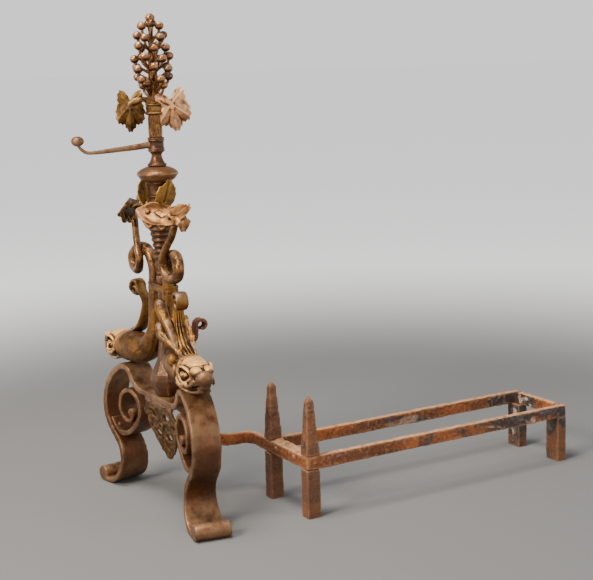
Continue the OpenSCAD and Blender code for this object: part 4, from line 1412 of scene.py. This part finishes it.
@dataclass
class Blade:
    """A hammered blade that spreads like a hand from its stem, with a vein along every lobe.

    The lobes are given as bearing from the middle lobe in degrees and reach as a share of the length.
    """

    base: tuple[float, float, float]
    tip_way: tuple[float, float, float]
    side_way: tuple[float, float, float]
    length: float
    width: float
    lobes: tuple[tuple[float, float], ...] = ((-115, 0.8), (-55, 0.97), (0, 0.95), (55, 0.97), (115, 0.8))
    notch: float = 1.3
    heart: float = 0.6
    teeth: int = 27
    tooth: float = 0.1
    droop: float = 60.0
    cup: float = 4.5
    wave: float = 4.4
    vein: float = 0.9
    groove: float = 0.0
    rim: float = 1.2
    thickness: float = 1.9
    around: int = 150
    rings: int = 13

    def reach(self, bearing: Array) -> Array:
        """Finds how far the edge lies from the base.

        Args:
            bearing: directions from the base in degrees.

        Returns:
            For each direction, a share of the length.
        """
        edge = np.full(len(bearing), self.heart)
        for lobe, far in self.lobes:
            away = np.abs((bearing - lobe + 180) % 360 - 180)
            petal = far * np.clip(np.cos(np.radians(away * self.notch)), 0, 1) ** 0.75
            edge = np.maximum(edge, np.where(away * self.notch < 90, petal, 0))
        back = np.clip((np.abs(bearing) - 128) / 40, 0, 1)
        saw = np.abs((bearing / 360 * self.teeth) % 1 - 0.5) * 2
        return edge * (1 - 0.75 * back) * (1 - self.tooth * saw)

    def form(self) -> Form:
        """Hammers the blade out as a closed thin form.

        Returns:
            The blade.
        """
        tip = unit(np.array(self.tip_way, float))
        side = unit(np.array(self.side_way, float) - tip * (tip @ np.array(self.side_way, float)))
        out = np.cross(side, tip)
        bearing = np.linspace(-180, 180, self.around, endpoint=False)
        edge = self.reach(bearing)
        near = np.full(len(bearing), 180.0)
        for lobe, _ in self.lobes:
            near = np.minimum(near, np.abs((bearing - lobe + 180) % 360 - 180))
        share = np.linspace(0.03, 1, self.rings)[:, None]
        across = share * edge * np.sin(np.radians(bearing)) * self.width
        down = share * edge * np.cos(np.radians(bearing)) * self.length
        from_vein = share * edge * self.length * np.sin(np.radians(np.minimum(near, 60)))
        lift = (self.vein * np.exp(-((from_vein / 1.5) ** 2)) * (1 - 0.6 * share)
                - self.wave * np.clip(from_vein / (0.28 * self.length), 0, 1) ** 1.3 * share
                - self.groove * np.exp(-((across / 2.2) ** 2)) * (1 - 0.5 * share)
                - self.cup * (across / self.width) ** 2 + self.rim * share**8)
        turn = down / self.droop

        def at(height: Array) -> Array:
            """Bends the blade over its droop.

            Args:
                height: how far each place stands off the blade's middle sheet.

            Returns:
                The places in space.
            """
            forward = (self.droop * np.sin(turn))[..., None] * tip
            place = forward - (self.droop * (1 - np.cos(turn)))[..., None] * out
            up = np.cos(turn)[..., None] * out + np.sin(turn)[..., None] * tip
            return np.array(self.base) + place + across[..., None] * side + up * height[..., None]

        half = self.thickness / 2
        return Form.of_rings(np.concatenate([at(lift + half), at(lift - half)[::-1]], axis=0))


@dataclass
class LeafWork:
    """All the leaves: two at the tails, two upright ones above them and two vine leaves."""

    facing: tuple[float, float, float] = (0.912, -0.409, 0.0)
    left_leaf_turn: float = 38.0
    left_fluke_reach: float = 0.78
    tail_end_x: float = 21.0

    def tail_leaf(self) -> Skin:
        """Forges the three-lobed leaf at the right tail's end, with its two small bosses.

        Returns:
            The skin.
        """
        up = (-0.5, 0.35, 0.8)
        main = Leaf([[21, -42, 411, 4, 1], [31, -37, 408, 12, 3], [45, -26, 404, 17, 5],
                     [60, -13, 403, 18, 4], [72, -6, 407, 15, 0], [82, -1, 413, 10, -3],
                     [88, 1, 419, 3.5, -1]], up, thickness=2.3, lobes=2, lobe_depth=0.2, teeth=5,
                    tooth_depth=0.04, vein=0.25, wave=3.0)
        droop = Leaf([[62, -12, 402, 10, 2], [75, -8, 403, 13, 0], [84, -6, 398, 12, -3],
                      [88, -7, 385, 4, -1]], (0.1, 1, 0.1), thickness=2.2, lobes=2, lobe_depth=0.2,
                     teeth=5, tooth_depth=0.08, vein=0.3, wave=2.2)
        join = Leaf([[11.8, -3, 408, 8, 0], [26, -10, 413, 11, -2], [44, -16, 410, 11, -2],
                     [56, -16, 404, 7, -1]], (0.3, 1, 0), thickness=1.9, lobes=2, lobe_depth=0.1,
                    teeth=5, tooth_depth=0.04)
        lip = Form.limb([[31, -41, 405, 1.8, 2], [36, -39.5, 400, 2.2, 2.8],
                         [43, -34.5, 389.5, 2.6, 3.2], [50, -28.5, 394.5, 2.2, 2.8],
                         [57, -22, 387.5, 2.6, 3.2], [63, -17, 393, 2, 2.6], [69, -13, 389, 1.8, 2.2]], 6, 14)
        bosses = [Form.ball((38, -33.5, 409), (2.8, 2.8, 2.8), 16),
                  Form.ball((64, -15.5, 404), (3, 3, 3), 16)]
        return Form.joined([main.form(), droop.form(), join.form(), lip, *bosses]).fused(0.6).relaxed(2)

    def upright_leaf(self) -> Skin:
        """Forges the right cupped leaf that stands under the disc.

        Returns:
            The skin.
        """
        stem = Form.limb([[12.4, 0, 408, 3, 5], [14, 0, 412, 3, 5], [17, 0, 417, 2.4, 4]], 5, 14)
        leaf = Blade((16.5, 1, 414), (0.36, 0.26, 0.9), (-0.3, 1, 0), 37, 21,
                     ((-100, 0.66), (-50, 0.92), (0, 0.96), (50, 0.92), (100, 0.66)), notch=1.2, teeth=20,
                     tooth=0.07, droop=90, cup=4.0, wave=-1.2, vein=0.0, groove=2.2, rim=0.8, around=120,
                     rings=12)
        skin = Form.joined([stem, leaf.form()]).fused(0.6).relaxed(1)
        skin.points = turned(skin.points, -6.5)
        return skin

    def vine_leaf(self, way: int, base: tuple[float, float, float], lean: float, length: float, width: float,
                  seed: int) -> Skin:
        """Returns one vine leaf that hangs from its arched stem and faces right and somewhat forward.

        Args:
            way: -1 for the left leaf and 1 for the right one.
            base: where the blade joins its stem, seen from the side that it faces: to the right of the
                column, in front of it and up.
            lean: how much the middle lobe runs to the right, seen so, for each millimetre that it falls.
            length: reach of the middle lobe.
            width: reach of the side lobes.
            seed: picks its hammer marks.

        Returns:
            The skin.
        """
        out = np.array(self.facing)
        across = np.cross(UP, out)
        start = across * base[0] + out * base[1] + UP * base[2]
        tip = unit(across * lean - UP)
        arch = [[5, 2, 541], [10, base[1] * 0.6, 550], [way * base[0] * 0.7, base[1], base[2] + 4.5]]
        knots = [[*(across * way * a + out * b + UP * c), 3.6 - 0.2 * k, 4.6 - 0.2 * k]
                 for k, (a, b, c) in enumerate(arch)]
        stem = Form.limb([*knots, [*start, 2.6, 3.6], [*(start + tip * 7), 1.6, 3]], 6, 16,
                         tuple(np.cross(tip, out)))
        blade = Blade(tuple(start), tuple(tip), tuple(np.cross(tip, out)), length, width)
        return Form.joined([stem, blade.form()]).fused(0.6).relaxed(1).hammered(6, 0.35, seed)

    def build(self) -> None:
        """Makes the six leaves."""
        for side in ("left", "right"):
            tail, stand = self.tail_leaf(), self.upright_leaf()
            if side == "left":
                tail, stand = tail.mirrored(), stand.mirrored()
                stand.points = turned(stand.points, self.left_leaf_turn)
                reach = (tail.points[:, 0] + self.tail_end_x) * self.left_fluke_reach
                tail.points[:, 0] = reach - self.tail_end_x
            dress = Finish.PALE_LEAF if side == "right" else Finish.DARK_LEAF
            fluke = Piece(f"{side}_tail_fluke", dress, (f"{side}_tail_leaf",))
            fluke.placed(tail.hammered(6, 0.3, 81))
            cupped = Piece(f"{side}_cupped_leaf", Finish.GOLD_LEAF, (f"{side}_upright_leaf",))
            cupped.placed(stand.hammered(6, 0.3, 83))
        left = self.vine_leaf(-1, (-31, 6, 545), -0.03, 43, 23, 85)
        Piece("left_vine_blade", Finish.DARK_LEAF, ("left_vine_leaf",)).placed(left)
        right = self.vine_leaf(1, (22, 9, 544), 0.2, 43, 28, 87)
        Piece("right_vine_blade", Finish.COPPERY_LEAF, ("right_vine_leaf",)).placed(right)


# ---- Grapes ----
@dataclass
class GrapeBunch:
    """The fluted stalk, its curved twigs and the slightly flattened grapes."""

    top_z: float = 660.0
    grape_r: float = 5.8
    grape_size: float = 6.3
    stalk_z0: float = 548.0
    # For each tier: how far it hangs below the top grape, its reach, its grapes and the first one's bearing.
    tiers: tuple[tuple[float, float, int, float], ...] = (
        (10, 11.5, 4, 75), (25, 17.5, 5, 20), (38, 18.5, 5, 58), (52, 22.5, 6, 12),
        (65, 22.5, 6, 40), (78, 21, 5, 5), (86, 16, 4, 31))

    def grape_places(self) -> list[Array]:
        """Sets out the tiers of grapes.

        Returns:
            The middle of every grape, the top one first.
        """
        places = [np.array([0, 0, self.top_z - self.grape_r])]
        for drop, reach, count, first in self.tiers:
            for k in range(count):
                a = math.radians(first + k * 360 / count)
                places.append(np.array([reach * math.cos(a), reach * math.sin(a),
                                        self.top_z - self.grape_r - drop + (k % 2) * 3]))
        return places

    def grapes(self) -> tuple[Form, Array]:
        """Makes all the grapes, each a little different in size and surface and slightly flattened.

        Returns:
            The grapes and their relief, which here follows each grape's height: painted shade on its
            underside and a paler painted top.
        """
        forms, relief = [], []
        for k, place in enumerate(self.grape_places()):
            around = np.arange(28) * 2 * math.pi / 28
            a, b = np.meshgrid(np.linspace(0.06, math.pi - 0.06, 18), around, indexing="ij")
            unit_rings = np.stack([np.sin(a) * np.cos(b), np.sin(a) * np.sin(b), np.cos(a)], -1)
            flat = unit_rings.reshape(-1, 3)
            size = self.grape_size * (1 - 0.06 * ((k * 7) % 5) / 4)
            bump = 1 - 0.05 * np.clip(grain(flat + k * 3.1, 0.9, 91 + k % 3), 0, 1)
            points = flat * (bump * size)[:, None] * [1, 1, 0.9]
            if k == 0:
                points[:, 2] += self.grape_r - size * 0.9
            forms.append(Form.of_rings((points + place).reshape(unit_rings.shape)))
            # Painted light and shade: the relief follows each grape's height, so its top is laid paler and
            # its underside dark.
            relief.append(np.clip(flat[:, 2] * 0.9 + 0.12, -0.8, 0.7))
        return Form.joined(forms), np.concatenate(relief)

    def twigs(self) -> Skin:
        """Makes the twigs, swelling where they leave the stalk and under each grape.

        Returns:
            The skin.
        """
        forms = [Form.limb([[0, 0, self.top_z - 60, 4.4, 4.4], [0, 0, self.top_z - 36, 3.4, 3.4],
                            [1, 0, self.top_z - 20, 2.5, 2.5],
                            [0, 0, self.top_z - 2 * self.grape_r + 1, 2, 2]], 6, 12)]
        for place in self.grape_places()[1:]:
            out = unit(np.array([place[0], place[1], 0]))
            reach = float(np.hypot(place[0], place[1]))
            low = place[2] - 16
            knots = [[*(out * 1.5 + UP * (low - 3)), 2.6, 2.6],
                     [*(out * reach * 0.5 + UP * (low + 2.0)), 2.0, 2.0],
                     [*(out * reach * 0.88 + UP * (place[2] - self.grape_r - 3)), 1.8, 1.8],
                     [*(out * reach * 0.96 + UP * (place[2] - self.grape_r + 1.2)), 2.3, 2.3]]
            forms.append(Form.limb(knots, 5, 10, tuple(np.cross(UP, out))))
        return Form.joined(forms).fused(0.55).relaxed(1)

    def stalk(self) -> Skin:
        """Makes the stalk as a bundle of rods that twist slightly.

        Returns:
            The skin.
        """
        forms = [Form.of_node("grape_stalk")]
        for k in range(6):
            rod = []
            for t in np.linspace(0, 1, 8):
                a = math.radians(k * 60 + 30 + 18 * t)
                r = 6.6 - 4.2 * t
                rod.append([r * math.cos(a), r * math.sin(a), self.stalk_z0 + 0.4 + 74 * t, 2.3 - 0.7 * t,
                            2.3 - 0.7 * t])
            forms.append(Form.limb(rod, 4, 12))
        return Form.joined(forms).fused(0.6).relaxed(1).hammered(4, 0.25, 95)

    def build(self) -> None:
        """Makes the bunch."""
        form, relief = self.grapes()
        Piece("grape_bunch", Finish.GRAPE, ("grapes",)).placed(form, relief)
        Piece("grape_twig_work", Finish.TAIL, ("grape_twigs",)).placed(self.twigs())
        Piece("grape_stalk_bundle", Finish.TAIL, ("grape_stalk",)).placed(self.stalk())


# ---- The log rest and the ironwork behind the column ----
@dataclass
class LogRest:
    """The stem bar, the frame that carries the logs, its posts and legs, and the rear hook."""

    voxel: float = 1.25
    pit_size: float = 3.4
    pit_depth: float = 0.55
    blow_depth: float = 0.6
    welds: tuple[tuple[tuple[float, float, float], tuple[float, float, float]], ...] = (
        ((147, 118, 66), (166, 139, 84)), ((52, 120, 66), (68, 139, 84)),
        ((155, 546, 66), (166, 560, 84)), ((52, 546, 66), (63, 560, 84)))

    def frame_skin(self, nodes: tuple[str, ...]) -> Skin:
        """Forge-welds the stem and the frame into one piece, with a swelling at each weld.

        Args:
            nodes: names of the stem's and the frame's nodes.

        Returns:
            The skin.
        """
        welds = [Form.block(low, high) for low, high in self.welds]
        bars = [Form.of_node(node).grown(0.5) for node in nodes]
        return Form.joined([*welds, *bars]).fused(self.voxel).relaxed(3)

    def forged(self, skin: Skin, seed: int) -> Skin:
        """Leaves long dents along the bars, blows and rust pits.

        Args:
            skin: the bars, which are changed.
            seed: picks the marks.

        Returns:
            The skin.
        """
        dents = grain(skin.points * [1, 0.35, 1], 16, seed)
        skin.pushed((dents - 0.6) * self.blow_depth)
        return skin.hammered(9, 0.35, seed + 1).hammered(self.pit_size, self.pit_depth, seed + 2)

    def build(self) -> None:
        """Makes the rusted bars."""
        frame_nodes = ("stem_bar", "front_bar", "near_side_bar", "far_side_bar", "rear_bar")
        skin = self.forged(self.frame_skin(frame_nodes), 101)
        Piece("log_rest_frame", Finish.FIRE, frame_nodes).placed(skin)
        bars = {"near_front_post": "near_spiked_post", "far_front_post": "far_spiked_post",
                "near_rear_leg": "near_rear_foot_bar", "far_rear_leg": "far_rear_foot_bar"}
        for k, (node, name) in enumerate(bars.items()):
            raw = Form.of_node(node)
            skin = self.forged(raw.grown(1.0).fused(self.voxel).relaxed(2), 111 + k)
            skin.points = np.clip(skin.points, raw.points.min(0), raw.points.max(0))
            Piece(name, Finish.POST, (node,)).placed(skin)
        ForgedPart("stem_rivet_heads", ("stem_rivets",), Finish.FIRE, voxel=0.6, soften=2, blow_size=4,
                   blow_depth=0.25, pit_size=1.6, pit_depth=0.12, seed=121).build()
        ForgedPart("rear_curl_hook", ("rear_hook",), Finish.HOOK, voxel=0.8, soften=3, blow_size=8,
                   blow_depth=0.35, pit_size=2.5, pit_depth=0.2, seed=123).build()


# ---- Floor, light and camera ----
@dataclass
class Studio:
    """A pale sweep of floor, soft light from above, and the camera."""

    floor_radius: float = 60.0
    floor_sides: int = 64
    near_grey: str = "#868686"
    far_grey: str = "#f2f2f2"
    sweep_glow: str = "#dedede"
    horizon_grey: str = "#fdfdfd"
    sky_grey: str = "#8c8c8c"
    sky_rise: tuple[float, float] = (0.04, 0.4)
    sky_strength: float = 1.1
    paint_m: tuple[float, float] = (0.6, 2.0)
    light_m: tuple[float, float] = (0.72, 2.1)
    camera_place: tuple[float, float, float] = (1.5901, -0.9344, 0.5990)
    yaw: float = 59.987
    pitch: float = 10.051
    roll: float = -1.810
    focal_px: float = 1315.55
    width_px: float = 593.0

    def camera(self) -> None:
        """Makes the camera at the photograph's angle."""
        a, e, r = (math.radians(v) for v in (self.yaw, self.pitch, self.roll))
        forward = np.array([-math.sin(a) * math.cos(e), math.cos(a) * math.cos(e), -math.sin(e)])
        right = np.array([math.cos(a), math.sin(a), 0])
        up = np.cross(right, forward)
        right, up = math.cos(r) * right + math.sin(r) * up, -math.sin(r) * right + math.cos(r) * up
        data = bpy.data.cameras.new("view")
        data.sensor_width, data.sensor_fit = 36, "HORIZONTAL"
        data.lens = 36 * self.focal_px / self.width_px
        camera = bpy.data.objects.new("view", data)
        world = np.eye(4)
        world[:3, 0], world[:3, 1], world[:3, 2], world[:3, 3] = right, up, -forward, self.camera_place
        camera.matrix_world = Matrix(world.tolist())
        bpy.context.scene.collection.objects.link(camera)
        bpy.context.scene.camera = camera

    def floor(self) -> None:
        """Makes the floor, darker round the object."""
        n = self.floor_sides
        rings = []
        for radius in (0.0, 0.3, 0.6, 1.0, 1.6, 2.6, 4.5, 8.0, 16.0, self.floor_radius):
            a = np.arange(n) * 2 * math.pi / n
            rings.append(np.stack([radius * np.cos(a), radius * np.sin(a), np.zeros(n)], -1))
        points = np.array(rings).reshape(-1, 3)
        faces = [(i * n + j, (i + 1) * n + j, (i + 1) * n + (j + 1) % n, i * n + (j + 1) % n)
                 for i in range(len(rings) - 1) for j in range(n)]
        mesh = bpy.data.meshes.new("floor")
        mesh.from_pydata(points.tolist(), [], faces)
        # Matt paint: the eye sees an even grey that pales into the distance, with no gloss.
        material, tree = new_material("painted_studio_floor")
        place = add(tree, "ShaderNodeTexCoord", {}).outputs["Object"]
        reach = add(tree, "ShaderNodeVectorMath", {0: place}, operation="LENGTH").outputs["Value"]
        paint, light = (add(tree, "ShaderNodeMapRange", {0: reach, 1: near, 2: far},
                            interpolation_type="SMOOTHSTEP").outputs[0]
                        for near, far in (self.paint_m, self.light_m))
        tone = add(tree, "ShaderNodeMix", {0: paint, 6: linear(self.near_grey), 7: linear(self.far_grey)},
                   data_type="RGBA").outputs[2]
        glow = add(tree, "ShaderNodeMix", {0: light, 6: linear("#000000"), 7: linear(self.sweep_glow)},
                   data_type="RGBA").outputs[2]
        shader = add(tree, "ShaderNodeBsdfPrincipled",
                     {"Base Color": tone, "Roughness": 0.85, "Emission Color": glow,
                      "Emission Strength": 1.0})
        add(tree, "ShaderNodeOutputMaterial", {"Surface": shader.outputs["BSDF"]})
        mesh.materials.append(material)
        obj = bpy.data.objects.new("floor", mesh)
        bpy.context.scene.collection.objects.link(obj)

    def lamp(self, name: str, place: tuple[float, float, float], size: float, power: float,
             tint: str) -> None:
        """Hangs one soft lamp that looks at the middle of the object.

        Args:
            name: the lamp's name.
            place: where it hangs, in metres.
            size: its diameter in metres.
            power: its power in watts.
            tint: its colour in sRGB hex.
        """
        data = bpy.data.lights.new(name, "AREA")
        data.shape, data.size, data.energy, data.color = "DISK", size, power, linear(tint)[:3]
        obj = bpy.data.objects.new(name, data)
        obj.location = place
        aim = unit(np.array([0, -0.1, 0.25]) - np.array(place))
        obj.rotation_mode = "QUATERNION"
        obj.rotation_quaternion = Vector(aim).to_track_quat("-Z", "Y")
        bpy.context.scene.collection.objects.link(obj)

    def build(self) -> None:
        """Makes the studio."""
        self.camera()
        self.floor()
        self.lamp("overhead_softbox", (0.1, -0.6, 2.2), 0.9, 44, "#fffaf2")
        self.lamp("left_softbox", (0.6, -2.0, 1.5), 0.7, 42, "#fff4e6")
        self.lamp("right_fill", (1.7, 0.9, 0.9), 1.2, 6, "#f2f6ff")
        world = bpy.data.worlds.new("studio_air")
        world.use_nodes = True
        tree = world.node_tree
        sky = add(tree, "ShaderNodeTexCoord", {}).outputs["Generated"]
        height = add(tree, "ShaderNodeSeparateXYZ", {0: sky}).outputs["Z"]
        share = add(tree, "ShaderNodeMapRange", {0: height, 1: self.sky_rise[0], 2: self.sky_rise[1]},
                    interpolation_type="SMOOTHSTEP").outputs[0]
        air = add(tree, "ShaderNodeMix", {0: share, 6: linear(self.horizon_grey), 7: linear(self.sky_grey)},
                  data_type="RGBA").outputs[2]
        tree.links.new(air, tree.nodes["Background"].inputs["Color"])
        tree.nodes["Background"].inputs["Strength"].default_value = self.sky_strength
        bpy.context.scene.world = world


def write_sizes() -> None:
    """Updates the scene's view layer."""
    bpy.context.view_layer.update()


def main() -> None:
    """Builds the studio and every part of the andiron in turn."""
    logging.basicConfig(level=logging.INFO, format="%(message)s")
    Studio().build()
    ScrollBase().build()
    Column().build()
    Swivel().build()
    for side in ("left", "right"):
        Dolphin(side).build()
    LeafWork().build()
    GrapeBunch().build()
    LogRest().build()
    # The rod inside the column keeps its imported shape.
    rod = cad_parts["core_rod"]
    rod.material_slots[0].material = Finish.COLUMN.material()
    write_sizes()


if __name__ == "__main__":
    main()
